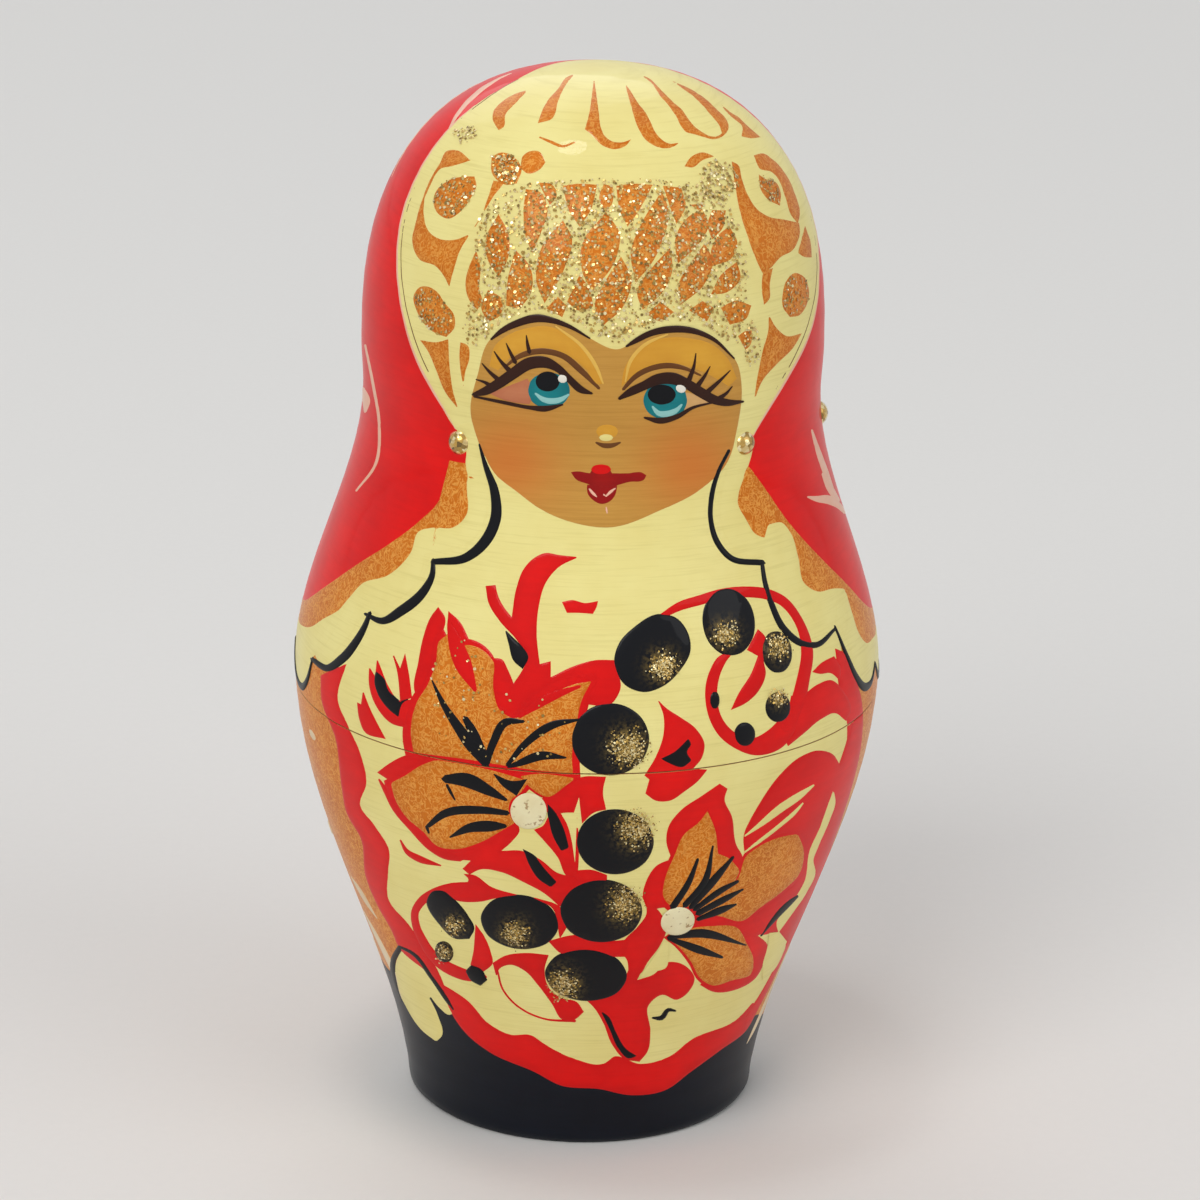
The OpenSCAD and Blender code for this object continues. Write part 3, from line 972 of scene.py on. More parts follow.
RED_STEMS = {
    "trunk": [
        (579, 557), (560, 555), (545, 553), (533, 559), (524, 569), (517, 587), (512, 617), (505, 608),
        (499, 597), (496, 585), (486, 586), (489, 603), (500, 621), (517, 640), (528, 657), (522, 671),
        (514, 683), (508, 669), (502, 659), (493, 658), (494, 690), (502, 718), (512, 723), (523, 711),
        (540, 693), (562, 682), (593, 680), (581, 704), (612, 703), (620, 690), (614, 660), (596, 660),
        (574, 666), (551, 677), (551, 661), (540, 664), (537, 635), (539, 607), (546, 583), (558, 568),
    ],
    "dash": [
        (562, 602), (572, 600), (585, 603), (598, 601), (597, 606), (593, 614), (578, 613), (567, 613),
    ],
    "middle": [
        (538, 799), (552, 794), (566, 786), (580, 777), (606, 776), (603, 790), (606, 809), (594, 812),
        (582, 823), (579, 797), (574, 812), (566, 812), (550, 815),
    ],
    "middle_low": [
        (534, 829), (543, 825), (550, 814), (560, 811), (567, 823), (572, 841), (575, 862), (577, 815),
        (579, 840), (578, 877), (568, 876), (558, 857), (545, 841),
    ],
    "branch_a": [
        (436, 847), (452, 850), (470, 848), (490, 838), (516, 820), (520, 829), (512, 841), (502, 850),
        (522, 850), (541, 859), (558, 872), (576, 876), (604, 880), (582, 888), (568, 895), (560, 906),
        (545, 893), (525, 882), (500, 871), (480, 869), (470, 874), (463, 868), (471, 860), (450, 857),
    ],
    "branch_b": [
        (439, 890), (455, 885), (467, 884), (469, 879), (464, 873), (474, 874), (492, 886), (515, 893),
        (540, 898), (560, 906), (567, 925), (560, 938), (551, 906), (528, 899), (500, 897), (480, 901),
        (458, 900),
    ],
    "berry_loop": [
        (470, 885, 8), (450, 887, 9), (435, 892, 9), (423, 900, 9), (416, 911, 8), (417, 925, 8),
        (423, 939, 9), (431, 952, 10), (441, 962, 11), (455, 970, 12), (470, 975, 11), (484, 976, 8),
    ],
    "berry_side": [
        (476, 923), (484, 934), (491, 950), (493, 963), (484, 971), (471, 964), (474, 950), (475, 938),
    ],
    "leaf_low": [
        (493, 962), (505, 955), (525, 952), (549, 954), (545, 968), (550, 988), (562, 997), (577, 1001),
        (584, 1011), (574, 1019), (563, 1019), (552, 1003), (538, 984), (525, 970), (510, 964),
        (500, 968), (497, 977),
    ],
    "leaf_line": [
        (498, 970, 2), (503, 988, 2), (512, 1000, 2), (525, 1010, 2), (545, 1018, 2), (575, 1020, 3),
    ],
    "foot": [
        (586, 999), (602, 996), (618, 988), (629, 967), (641, 971), (637, 979), (652, 974), (669, 961),
        (685, 965), (694, 977), (688, 991), (676, 999), (662, 994), (648, 1005), (650, 1030), (647, 1051),
        (639, 1061), (624, 1058), (612, 1044), (603, 1022), (594, 1007),
    ],
    "link": [
        (641, 893), (653, 904), (662, 915), (666, 929), (660, 944), (647, 962), (640, 973), (628, 976),
        (626, 958), (617, 950), (625, 938), (638, 925), (646, 913),
    ],
    "berry_gap": [(572, 870), (592, 869), (607, 874), (607, 888), (590, 890), (576, 889)],
    "berry_gap_low": [(548, 940), (575, 934), (606, 940), (632, 938), (626, 956), (600, 956), (560, 952)],
    "leaf_mid": [
        (657, 699), (665, 707), (680, 717), (695, 728), (704, 744), (701, 758), (693, 768), (707, 769),
        (698, 780), (684, 791), (670, 800), (655, 800), (645, 793), (649, 779), (644, 775), (655, 757),
        (663, 734), (663, 715),
    ],
    "vine_over": [
        (660, 617, 5), (680, 606, 9), (700, 600, 10), (720, 594, 10), (745, 592, 11), (765, 594, 11),
        (780, 600, 10), (798, 622, 9), (806, 650, 12), (802, 680, 13), (794, 710, 16), (786, 725, 18),
    ],
    "vine_under": [
        (794, 708, 16), (786, 725, 20), (772, 740, 22), (755, 746, 18), (738, 742, 14), (724, 732, 13),
        (715, 718, 12), (711, 702, 12), (711, 686, 12), (715, 671, 11), (722, 659, 9), (729, 654, 4),
    ],
    "loop_leaf": [
        (757, 629), (764, 636), (766, 648), (763, 660), (765, 673), (757, 692), (745, 703), (730, 710),
        (738, 693), (750, 674), (757, 656), (746, 650),
    ],
    "side_leaf": [(811, 672), (820, 663), (833, 656), (840, 668), (839, 681), (829, 673), (819, 674)],
    "side_mass": [
        (806, 692), (817, 684), (830, 680), (842, 690), (850, 712), (845, 721), (834, 713), (820, 719),
        (803, 733), (787, 746), (785, 741), (792, 732), (788, 710), (790, 695), (797, 701),
    ],
}
RIGHT_FLOWER_RED = {
    "left_petal_edge": [
        (662, 907), (650, 908), (643, 898), (646, 880), (656, 865), (671, 858), (666, 842), (668, 826),
        (680, 810), (700, 796), (719, 783), (727, 788), (724, 798), (731, 815), (736, 845), (742, 856),
        (737, 878), (716, 896), (690, 906),
    ],
    "right_leaf": [
        (743, 834), (750, 818), (761, 799), (780, 773), (800, 756), (818, 750), (832, 754), (838, 763),
        (846, 738), (850, 722), (862, 722), (860, 745), (851, 785), (838, 825), (822, 865), (806, 903),
        (787, 942), (776, 932), (760, 934), (748, 918), (770, 899), (792, 882), (802, 865), (801, 838),
        (785, 833), (764, 841), (744, 856),
    ],
    "under_petal": [
        (745, 930), (757, 935), (767, 945), (763, 962), (755, 977), (735, 989), (712, 991), (699, 984),
        (720, 965),
    ],
}
LEAF_SLITS = {
    "upper": [(744, 835, 1.5), (760, 823, 5), (780, 807, 8), (798, 795, 7), (813, 784, 1.5)],
    "middle": [(744, 851, 1.5), (760, 839, 3.5), (778, 825, 4), (794, 811, 3.5), (802, 802, 1.5)],
    "edge": [
        (832, 789), (834, 800), (828, 820), (816, 848), (812, 860), (814, 870), (805, 892), (790, 914),
        (777, 932), (775, 924), (791, 901), (803, 880), (808, 850), (819, 825), (827, 802),
    ],
    "low": [
        (768, 932), (778, 931), (784, 940), (780, 956), (770, 972), (761, 979), (761, 966), (766, 946),
    ],
    "stem": [
        (663, 940), (669, 941), (668, 955), (666, 966), (652, 971), (638, 978), (646, 966), (655, 953),
    ],
}
GOLD_PETALS = {
    "left_upper": [
        (440, 640), (448, 634), (455, 648), (468, 644), (482, 648), (494, 660), (494, 690), (502, 710),
        (515, 717), (532, 708), (552, 693), (575, 683), (593, 680), (582, 702), (577, 728), (573, 755),
        (574, 774), (540, 771), (500, 765), (470, 760), (440, 756), (414, 753), (411, 733), (417, 702),
        (428, 684), (436, 662),
    ],
    "left_lower": [
        (391, 782), (404, 775), (422, 764), (436, 759), (455, 761), (490, 768), (531, 780), (522, 792),
        (511, 802), (511, 813), (517, 822), (500, 832), (482, 842), (456, 849), (438, 846), (424, 832),
        (406, 816), (396, 800),
    ],
    "left_right": [(519, 775), (540, 772), (560, 774), (578, 777), (566, 786), (548, 797), (532, 789)],
    "right_upper": [
        (707, 808), (698, 820), (682, 834), (673, 854), (663, 880), (662, 896), (672, 907), (690, 906),
        (712, 897), (735, 880), (740, 869), (728, 856), (718, 852), (716, 832),
    ],
    "right_side": [
        (745, 854), (757, 845), (777, 836), (797, 832), (803, 848), (799, 873), (784, 889), (760, 907),
        (740, 921), (718, 916), (697, 915), (693, 905), (712, 893), (735, 878),
    ],
    "right_low": [
        (667, 938), (682, 929), (710, 924), (738, 927), (746, 941), (753, 958), (750, 974), (732, 980),
        (710, 985), (698, 977), (690, 962), (678, 947),
    ],
}
PETAL_VEILS = {
    "left_lobe": [(450, 624, 4), (456, 642, 14), (464, 664, 17), (476, 690, 4)],
    "left_fold": [(520, 716, 4), (538, 704, 9), (556, 695, 8), (580, 686, 3)],
}
PETAL_GAPS = {
    "left_fold": [(514, 716, 8), (540, 697, 17), (566, 683, 17), (594, 676, 10)],
    "right_between": [
        (679, 921), (699, 913), (728, 908), (752, 904), (768, 926), (757, 935), (745, 937), (720, 929),
        (693, 930),
    ],
}
VEINS = {
    "left_1": [(433, 680, 1.5), (445, 705, 6), (460, 728, 10), (470, 742, 12), (487, 763, 8)],
    "left_2": [(466, 718, 6), (473, 730, 9), (480, 745, 9), (487, 760, 8)],
    "left_3": [(524, 721, 3), (506, 722, 8), (494, 742, 8), (487, 762, 7)],
    "left_4": [(580, 719, 2), (552, 725, 8), (525, 744, 7), (508, 764, 4)],
    "left_5": [(566, 757, 2), (542, 755, 9), (518, 763, 6), (509, 766, 3)],
    "left_6": [(446, 778, 8), (466, 779, 14), (490, 790, 10), (507, 799, 3)],
    "left_6_hook": [(448, 784, 3), (452, 792, 3), (456, 799, 1.5)],
    "left_7": [(430, 832, 2), (428, 826, 4), (445, 813, 8), (480, 809, 8), (508, 812, 5)],
    "left_8": [(451, 836, 2), (470, 827, 9), (494, 825, 10), (506, 825, 4)],
    "left_heart": [(493, 772), (513, 780), (528, 778), (517, 795), (502, 784)],
    "right_1": [(672, 906, 7), (688, 881, 6), (697, 858, 3)],
    "right_2": [(684, 904, 6), (703, 882, 7), (712, 845, 2)],
    "right_3": [(690, 906, 5), (712, 880, 8), (732, 856, 3)],
    "right_4": [(694, 908, 5), (722, 888, 6), (737, 880, 3)],
    "right_5": [(697, 912, 6), (727, 896, 6), (742, 888, 2)],
    "right_6": [(697, 918, 4), (722, 908, 7), (735, 903, 2)],
    "right_7": [(668, 936, 4), (700, 932, 9), (745, 944, 1.5)],
    "right_8": [(668, 937, 4), (700, 949, 8), (721, 956, 3)],
}
BLACK_LEAVES = {
    "bud": [(505, 629), (513, 637), (523, 647), (529, 657), (523, 669), (514, 661), (509, 644)],
    "outer": [
        (377, 670), (384, 676), (391, 691), (401, 701), (413, 697), (404, 704), (400, 718), (389, 709),
        (378, 693), (375, 680),
    ],
    "wedge": [(547, 801), (556, 811), (564, 826), (570, 847), (561, 851), (552, 834), (548, 816)],
    "branch": [(523, 848), (534, 854), (547, 869), (558, 881), (551, 887), (538, 878), (528, 862)],
    "middle": [
        (659, 758), (673, 751), (688, 737), (691, 744), (687, 751), (692, 760), (682, 767), (668, 763),
    ],
    "foot": [
        (599, 1008), (609, 1015), (616, 1030), (626, 1047), (638, 1055), (628, 1058), (617, 1047),
        (609, 1029),
    ],
    "comma": [(652, 1017, 2), (661, 1017, 5), (668, 1009, 4), (675, 1010, 2)],
    "side": [(760, 935, 2), (772, 919, 6), (786, 904, 7), (803, 890, 2)],
}
BERRIES = {
    "top": [
        (614, 661), (619, 643), (634, 627), (658, 614), (676, 618), (688, 634), (690, 651), (680, 670),
        (663, 686), (644, 692), (625, 685),
    ],
    "vine_1": oval(728, 622, 26, 34, -8),
    "vine_2": oval(776, 652, 15, 21, -6),
    "vine_3": oval(777, 707, 12.5, 15),
    "vine_4": oval(714, 700, 5, 9),
    "vine_5": oval(744, 734, 10.5, 12),
    "middle": oval(610, 739, 39, 36),
    "low_1": oval(615, 841, 38.5, 32.5),
    "low_2": oval(601, 910, 41, 31.5),
    "loop_1": [
        (428, 897), (433, 890), (443, 889), (457, 900), (469, 915), (475, 928), (470, 938), (456, 938),
        (441, 925),
    ],
    "loop_2": oval(445, 951, 9, 11, -20),
    "loop_3": [(466, 970), (472, 964), (481, 967), (488, 979), (481, 985), (471, 979)],
    "left": oval(520, 921, 39, 27, 8),
    "bottom": oval(586, 974, 41, 26, 3),
}
FLOWER_HEARTS = {
    "left": oval(529, 810, 18, 18),
    "right": oval(677, 920, 17, 14, -15),
}

# Places and reach of the gold glitter on the berries, in pixels
BERRY_GLITTER = [
    (662, 666, 15), (724, 634, 13), (776, 646, 13), (776, 697, 9), (628, 747, 19), (636, 827, 19),
    (625, 902, 18), (455, 924, 10), (445, 951, 9), (516, 932, 14), (563, 983, 16),
]
PETAL_GLITTER = ([(430, 655), (470, 635), (500, 690), (560, 700), (575, 740), (540, 765), (440, 740)], 90)
HEADDRESS_GLITTER = {
    "lattice": (
        [
            (490, 205), (520, 188), (580, 180), (650, 180), (720, 196), (742, 240), (746, 300),
            (738, 345), (722, 338), (700, 324), (670, 321), (640, 331), (617, 342), (590, 331),
            (565, 316), (540, 311), (512, 317), (488, 335), (478, 290),
        ],
        3200,
    ),
    "left_eye": (
        [(449, 181), (472, 176), (476, 190), (465, 208), (449, 219), (435, 208), (438, 190)],
        130,
    ),
    "left_patch": ([(492, 157), (512, 156), (522, 170), (515, 186), (495, 178)], 150),
    "left_top": ([(452, 132), (474, 126), (480, 138), (462, 146)], 60),
    "left_low_eye": (
        [(415, 294), (426, 286), (441, 298), (455, 316), (450, 335), (436, 333), (419, 315)],
        130,
    ),
    "left_temple": ([(470, 300), (486, 300), (490, 330), (478, 352), (466, 340)], 90),
    "right_eye": ([(758, 175), (772, 180), (780, 203), (770, 202), (758, 187)], 70),
    "right_patch": ([(697, 172), (715, 159), (734, 170), (738, 182), (726, 200), (704, 200)], 240),
    "right_low_eye": ([(782, 292), (790, 275), (803, 277), (808, 295), (792, 318), (781, 305)], 90),
    "right_temple": ([(742, 330), (752, 318), (760, 350), (752, 372), (744, 356)], 70),
}

# The shawl's edge and the dark foot, as degrees from the face and millimetres of height
FULL_TURN = 360
HALF_TURN = 180
SHAWL_EDGE_BACK = [(100, 52.8), (140, 53.2), (180, 53.6), (220, 53.2), (260, 52.9)]
FOOT_EDGE_POINTS = [
    (-180, 13.0), (-120, 13.6), (-90, 14.4), (-66, 15.0), (-40, 14.8), (-18, 10.4), (7, 7.8), (37, 8.4),
    (62, 11.0), (82, 8.8), (105, 10.4), (140, 12.6), (180, 13.0),
]
HEIGHT_LINE_STEP = 1.0

# How far the lattice and the petals' edges grow past what is drawn, and the gold's share of its dab
LATTICE_SHARE = 1.14
PETAL_EDGE_SHARE = 1.09
GLIMMER_SHARE = 0.6


def height_line(points):
    """Arc at any angle of a line that runs all round, from points of degrees and millimetres."""
    line = smooth(sorted(points), HEIGHT_LINE_STEP)

    def arc(angles):
        return arc_at(np.interp(np.degrees(angles), line[:, 0], line[:, 1], period=FULL_TURN) * MM)

    return arc


def degrees_and_heights(pixels):
    """Pixels as degrees from the face and millimetres of height."""
    angle, arc = photo_to_doll(np.array(pixels, float))
    return list(zip(np.degrees(angle), np.interp(arc, OUT_ARC, OUT_Z) / MM))


def grown(shapes, share):
    """The same shapes, each larger about its own middle."""
    larger = {}
    for name, points in shapes.items():
        outline = np.array(points, float)
        larger[name] = outline.mean(0) + share * (outline - outline.mean(0))
    return larger


def strongest_spot(spots, middles):
    """A tone that is 1 at each of some middles and fades with its reach."""
    tone = np.zeros(len(spots))
    for x, y, reach in middles:
        square = (spots[:, 0] - x) ** 2 + (spots[:, 1] - y) ** 2
        tone = np.maximum(tone, np.exp(-square / (2 * reach**2)))
    return tone


def glimmer(spots):
    """How much fine gold lies on a berry: most in the middle of its dab of glitter."""
    return strongest_spot(spots, [(x, y, GLIMMER_SHARE * reach) for x, y, reach in BERRY_GLITTER])


def blush(spots):
    """How flushed the face is: most on the cheeks."""
    return strongest_spot(spots, [(x, y, CHEEK_REACH) for x, y in CHEEKS])


# Glitter flakes
COARSE_FLAKE = 0.115 * MM
FINE_FLAKE = 0.08 * MM
FLAKE_TILT = 0.42
FLAKE_LEAST_SHARE = 0.55
FLAKE_SPREAD_SHARE = 0.9
FLAKE_CORNER_STEP = 60
FLAKE_CORNERS = np.radians(np.arange(0, FULL_TURN, FLAKE_CORNER_STEP))
FLAKE_FAN = np.array([(0, 1, 2), (0, 2, 3), (0, 3, 4), (0, 4, 5)])
TRIES_PER_FLAKE = 3
DAB_FLAKES = 1.4
DAB_SPREAD_SHARE = 0.44
DAB_LIMIT_SHARE = 1.25
COATS_OVER_BERRY = 4
BERRY_FLAKE_COAT = VEIN + COATS_OVER_BERRY


def scatter_flakes(canvas, angle, arc, coat, flake, dice):
    """Small six-sided flakes of glitter, each tilted its own way."""
    count = len(angle)
    size = flake * (FLAKE_LEAST_SHARE + FLAKE_SPREAD_SHARE * dice.random(count))
    turn = dice.random(count) * math.pi
    across = size[:, None] * np.cos(FLAKE_CORNERS + turn[:, None])
    along = size[:, None] * np.sin(FLAKE_CORNERS + turn[:, None])
    tilt = (dice.random((count, 2)) - 0.5) * 2 * FLAKE_TILT
    radius = np.maximum(np.interp(arc, OUT_ARC, OUT_R), MM)
    lift = coat_lift(coat) + size[:, None] * FLAKE_TILT + across * tilt[:, :1] + along * tilt[:, 1:]
    tone = np.repeat(dice.random(count), len(FLAKE_CORNERS))
    triangles = (np.arange(count)[:, None, None] * len(FLAKE_CORNERS) + FLAKE_FAN).reshape(-1, 3)
    flake_angle = angle[:, None] + across / radius[:, None]
    flake_arc = np.clip(arc[:, None] + along, 0, TOP_ARC)
    canvas.add_cut("glitter", flake_angle.ravel(), flake_arc.ravel(), lift.ravel(), tone, triangles)


def glitter_in_shape(canvas, points, count, coat, dice):
    """Flakes scattered over a shape on the photograph."""
    loop = shape_loop(points, PX_PER_MM)
    low, high = loop.min(0), loop.max(0)
    spots = low + dice.random((count * TRIES_PER_FLAKE, 2)) * (high - low)
    spots = spots[inside_loop(spots, loop)][:count]
    angle, arc = photo_to_doll(spots)
    scatter_flakes(canvas, angle, arc, coat, COARSE_FLAKE, dice)


def glitter_in_spot(canvas, x, y, reach, coat, dice):
    """Flakes that lie thick in the middle of a round dab and thin out."""
    count = int(DAB_FLAKES * reach**2)
    spots = np.array([x, y]) + reach * DAB_SPREAD_SHARE * dice.standard_normal((count, 2))
    spots = spots[np.hypot(spots[:, 0] - x, spots[:, 1] - y) < reach * DAB_LIMIT_SHARE]
    angle, arc = photo_to_doll(spots)
    scatter_flakes(canvas, angle, arc, coat, FINE_FLAKE, dice)


# The full painting, for the two largest dolls
DRESS_HEM_Z = 5 * MM
CAP_REACH = 1.5 * MM
CAP_ARC = TOP_ARC - CAP_REACH
TOP_ROWS = 110
DRESS_ROWS = 56
SHAWL_EDGE_ROWS = 26
FOOT_ROWS = 20
BERRY_DOME = 0.1 * MM
HEART_DOME = 0.1 * MM
FULL_SEED = 7


def paint_grounds(canvas):
    """Skins all over both halves, the shawl's gold edge and the dark foot."""
    paint_ring(canvas, "top", "red", SEAM_HIGH_ARC, CAP_ARC, TOP_ROWS, GROUND)
    paint_crown(canvas, "red", CAP_ARC, GROUND)
    paint_ring(canvas, "bottom", "gold", arc_at(DRESS_HEM_Z), SEAM_LOW_ARC, DRESS_ROWS, GROUND)
    front = degrees_and_heights(SHAWL_EDGE_LEFT + SHAWL_EDGE_RIGHT)
    back = [(turn - FULL_TURN if turn > HALF_TURN else turn, height) for turn, height in SHAWL_EDGE_BACK]
    edge = height_line(front + back)
    paint_ring(canvas, "top", "gold", SEAM_HIGH_ARC, edge, SHAWL_EDGE_ROWS, BORDER, rim=True)
    paint_ring(canvas, "bottom", "dark", 0.0, height_line(FOOT_EDGE_POINTS), FOOT_ROWS, BORDER, rim=True)


def paint_headdress(canvas):
    """Headdress, its edge and its gold, and the strokes on the scarf."""
    paint_shapes(canvas, "cream", BORDER, GROUND, HEADDRESS, chart=CROWN)
    paint_shapes(canvas, "pink", LACE, GROUND, HEADDRESS_EDGE, chart=CROWN)
    paint_shapes(canvas, "umber", BAND, BORDER, HEADDRESS_LINE, chart=CROWN)
    paint_shapes(canvas, "pink", LACE, GROUND, CROWN_RIBBONS, chart=CROWN)
    paint_shapes(canvas, "pink", LACE, GROUND, SCARF_STROKES)
    for group in (CROWN_RAYS, SIDE_LOOPS, grown(LATTICE, LATTICE_SHARE)):
        paint_shapes(canvas, "gold", LACE, BORDER, group)


# What is drawn on the face: paint, its coat, the coat below it and the shapes
FACE_COATS = [
    ("yellow", LEAF, BAND, EYESHADOW),
    ("straw", PETAL, LEAF, EYESHADOW_LIGHTS),
    ("blush", LEAF, BAND, EYE_CORNERS),
    ("skin", LEAF, BAND, EYE_CREAMS),
    ("yellow", LEAF, BAND, NOSE_DAB),
    ("cream", PETAL, LEAF, NOSE_LIGHT),
    ("teal", PETAL, BAND, IRISES),
    ("black", VEIN, PETAL, PUPILS),
    ("sky", VEIN, PETAL, EYE_GLINTS),
    ("umber", PETAL, BAND, CREASES),
    ("brown", DOT, PETAL, DARK_LINES),
    ("white", SHINE, VEIN, EYE_LIGHTS),
    ("lips", LEAF, BAND, LIPS),
    ("red", PETAL, LEAF, LIP_BOW),
    ("pink", PETAL, LEAF, LIP_LIGHTS),
]


def paint_face(canvas):
    """Face and what is drawn on it."""
    paint_shapes(canvas, "face", BAND, BORDER, FACE, tone=blush)
    for paint, coat, ground, shapes in FACE_COATS:
        paint_shapes(canvas, paint, coat, ground, shapes)


def paint_dress(canvas):
    """Lace, apron and the bouquet on it."""
    paint_shapes(canvas, "cream", LACE, GROUND, LACE_SHAPES)
    paint_shapes(canvas, "cream", LACE, GROUND, LACE_ENDS, chart=ROUND)
    paint_shapes(canvas, "cream", LACE, GROUND, APRON)
    paint_shapes(canvas, "red", BAND, GROUND, RED_FRAME)
    paint_shapes(canvas, "red", BAND, GROUND, FRAME_SIDE, chart=ROUND)
    petal_edges = grown(GOLD_PETALS, PETAL_EDGE_SHARE)
    for group in (LEFT_LEAVES, RED_STEMS, RIGHT_FLOWER_RED, petal_edges, PETAL_GAPS):
        paint_shapes(canvas, "red", LEAF, LACE, group)
    paint_shapes(canvas, "cream", PETAL, LEAF, LEAF_SLITS)
    paint_shapes(canvas, "gold", PETAL, LACE, GOLD_PETALS)
    paint_shapes(canvas, "red", VEIN, PETAL, PETAL_VEILS)
    paint_shapes(canvas, "black", DOT, PETAL, VEINS)
    paint_shapes(canvas, "black", VEIN, LACE, BLACK_LEAVES)
    paint_shapes(canvas, "berry", VEIN, LACE, BERRIES, dome=BERRY_DOME, tone=glimmer)
    paint_shapes(canvas, "black", VEIN, LACE, SCALLOPS)
    paint_shapes(canvas, "black", VEIN, LACE, SIDE_SCALLOPS, chart=ROUND)
    paint_shapes(canvas, "heart", SHINE, PETAL, FLOWER_HEARTS, dome=HEART_DOME)
    paint_shapes(canvas, "cream", LACE, GROUND, FOOT_PETALS)
    paint_shapes(canvas, "black", LEAF, GROUND, FOOT_PETAL_LINES)
    paint_shapes(canvas, "ivory", LACE, GROUND, SIDE_PETALS, chart=ROUND)


# The back, which the photograph doesn't show, goes on with the lace, the petals and the dots
BACK_RADIUS = 30
SHAWL_BACK_RADIUS = 25
BACK = WrapChart(HALF_TURN, BACK_RADIUS)
SHAWL_BACK = WrapChart(HALF_TURN, SHAWL_BACK_RADIUS)
BACK_SCALLOPS = 11
BACK_SCALLOP_FIRST = -102
BACK_SCALLOP_LAST = 93
BACK_SCALLOP_STEP = (BACK_SCALLOP_LAST - BACK_SCALLOP_FIRST) / BACK_SCALLOPS
LACE_TOP_Z = 51.4
LACE_CUSP_Z = 49.6
LACE_DIP_Z = 46.9
LACE_SIDE_Z = 47.7
LACE_WAVES = (-0.3, 0.5)
# One scallop's dark line: share of the way along it, height and width
SCALLOP_LINE = [
    (0, LACE_CUSP_Z, 0.4), (0.22, LACE_SIDE_Z, 0.8), (0.5, LACE_DIP_Z, 1.0), (0.78, LACE_SIDE_Z, 0.8),
    (1, LACE_CUSP_Z, 0.4),
]


def paint_back_lace(canvas):
    """Scalloped lace and its dark line round the back of the shawl."""
    cusps = [BACK_SCALLOP_FIRST + BACK_SCALLOP_STEP * number for number in range(BACK_SCALLOPS + 1)]
    lower = []
    for cusp in cusps[:-1]:
        line = [(cusp + share * BACK_SCALLOP_STEP, height, width) for share, height, width in SCALLOP_LINE]
        paint_patch(canvas, "black", BACK, BACK.place(line), VEIN, LACE)
        lower += [(turn, height) for turn, height, _ in line[:-1]]
    lower.append((cusps[-1], LACE_CUSP_Z))
    upper = []
    for number in range(2 * BACK_SCALLOPS + 1):
        upper.append((cusps[0] + number * BACK_SCALLOP_STEP / 2, LACE_TOP_Z + LACE_WAVES[number % 2]))
    paint_patch(canvas, "cream", BACK, BACK.place(lower + upper[::-1]), LACE, GROUND)


# A comma stroke: shares of its length ahead and aside, and of its width
COMMA_SHARES = [(0, 0, 0.55), (0.25, 0.03, 1), (0.6, 0.1, 0.6), (1, 0.26, 0.08)]


def comma(x, z, length, turn_deg, width):
    """A comma stroke: a round head that draws out to a bent tip."""
    turn = math.radians(turn_deg)
    line = []
    for share, bend_share, width_share in COMMA_SHARES:
        ahead = length * share
        aside = length * bend_share
        line.append((
            x + ahead * math.cos(turn) - aside * math.sin(turn),
            z + ahead * math.sin(turn) + aside * math.cos(turn),
            width * width_share,
        ))
    return line


LEAF_WIDTH = 2.0
PETAL_WIDTH = 2.6
BACK_FLOWER_Z = 79
BACK_PETALS = 8
BACK_PETAL_LENGTH = 6.5
BACK_PETAL_TURN_SHARE = 0.2
BACK_HEART_R = 1.7
BACK_HEART_DOME = 0.1 * MM
BACK_PETAL_ROOT = 2.35
SPRIG_STEMS = [
    [(2.5, 70.5, 0.3), (8, 66, 0.7), (15, 64.5, 0.6), (21, 67, 0.2)],
    [(3, 88, 0.3), (8, 90.5, 0.7), (13, 89, 0.6), (17, 84.5, 0.2)],
]
# Each leaf of a sprig: place, length and the way it points
SPRIG_LEAVES = [
    (8.5, 67, 5, 75), (13, 65.5, 5, 60), (17, 66, 4.5, 80), (10, 64.6, 5, -40), (15, 63.6, 5, -25),
    (7, 91, 4.5, 120), (10.5, 91, 4.5, 85), (13.5, 89.5, 4.5, 40), (11, 88.6, 4, -70),
    (14.5, 86.5, 4, -100),
]


def paint_back_flowers(canvas):
    """A flower of comma strokes on the shawl's back, with two leafy sprigs on either side."""
    for number in range(BACK_PETALS):
        turn = FULL_TURN * (number + BACK_PETAL_TURN_SHARE) / BACK_PETALS
        x = BACK_PETAL_ROOT * math.cos(math.radians(turn))
        z = BACK_FLOWER_Z + BACK_PETAL_ROOT * math.sin(math.radians(turn))
        petal = comma(x, z, BACK_PETAL_LENGTH, turn, PETAL_WIDTH)
        paint_patch(canvas, "pink", SHAWL_BACK, petal, LACE, GROUND)
    heart = oval(0, BACK_FLOWER_Z, BACK_HEART_R, BACK_HEART_R)
    paint_patch(canvas, "gold", SHAWL_BACK, heart, LACE, GROUND, dome=BACK_HEART_DOME)
    for side in (-1, 1):
        for stem in SPRIG_STEMS:
            line = [(side * x, z, width) for x, z, width in stem]
            paint_patch(canvas, "pink", SHAWL_BACK, line, LACE, GROUND)
        for x, z, length, turn in SPRIG_LEAVES:
            leaf = comma(side * x, z, length, turn if side > 0 else HALF_TURN - turn, LEAF_WIDTH)
            paint_patch(canvas, "pink", SHAWL_BACK, leaf, LACE, GROUND)


# Dots and petals on the back of the dress, in degrees round it and millimetres
BACK_DOT_HEIGHTS = (22, 29.5, 37)
BACK_DOTS = 9
BACK_DOT_FIRST = -88
BACK_DOT_STEP = 22
BACK_DOT_SIZE = (0.75, 0.8)
BACK_DOT_DOME = 0.06 * MM
BACK_PAIRS = 9
BACK_PAIR_FIRST = -92
BACK_PAIR_STEP = 23
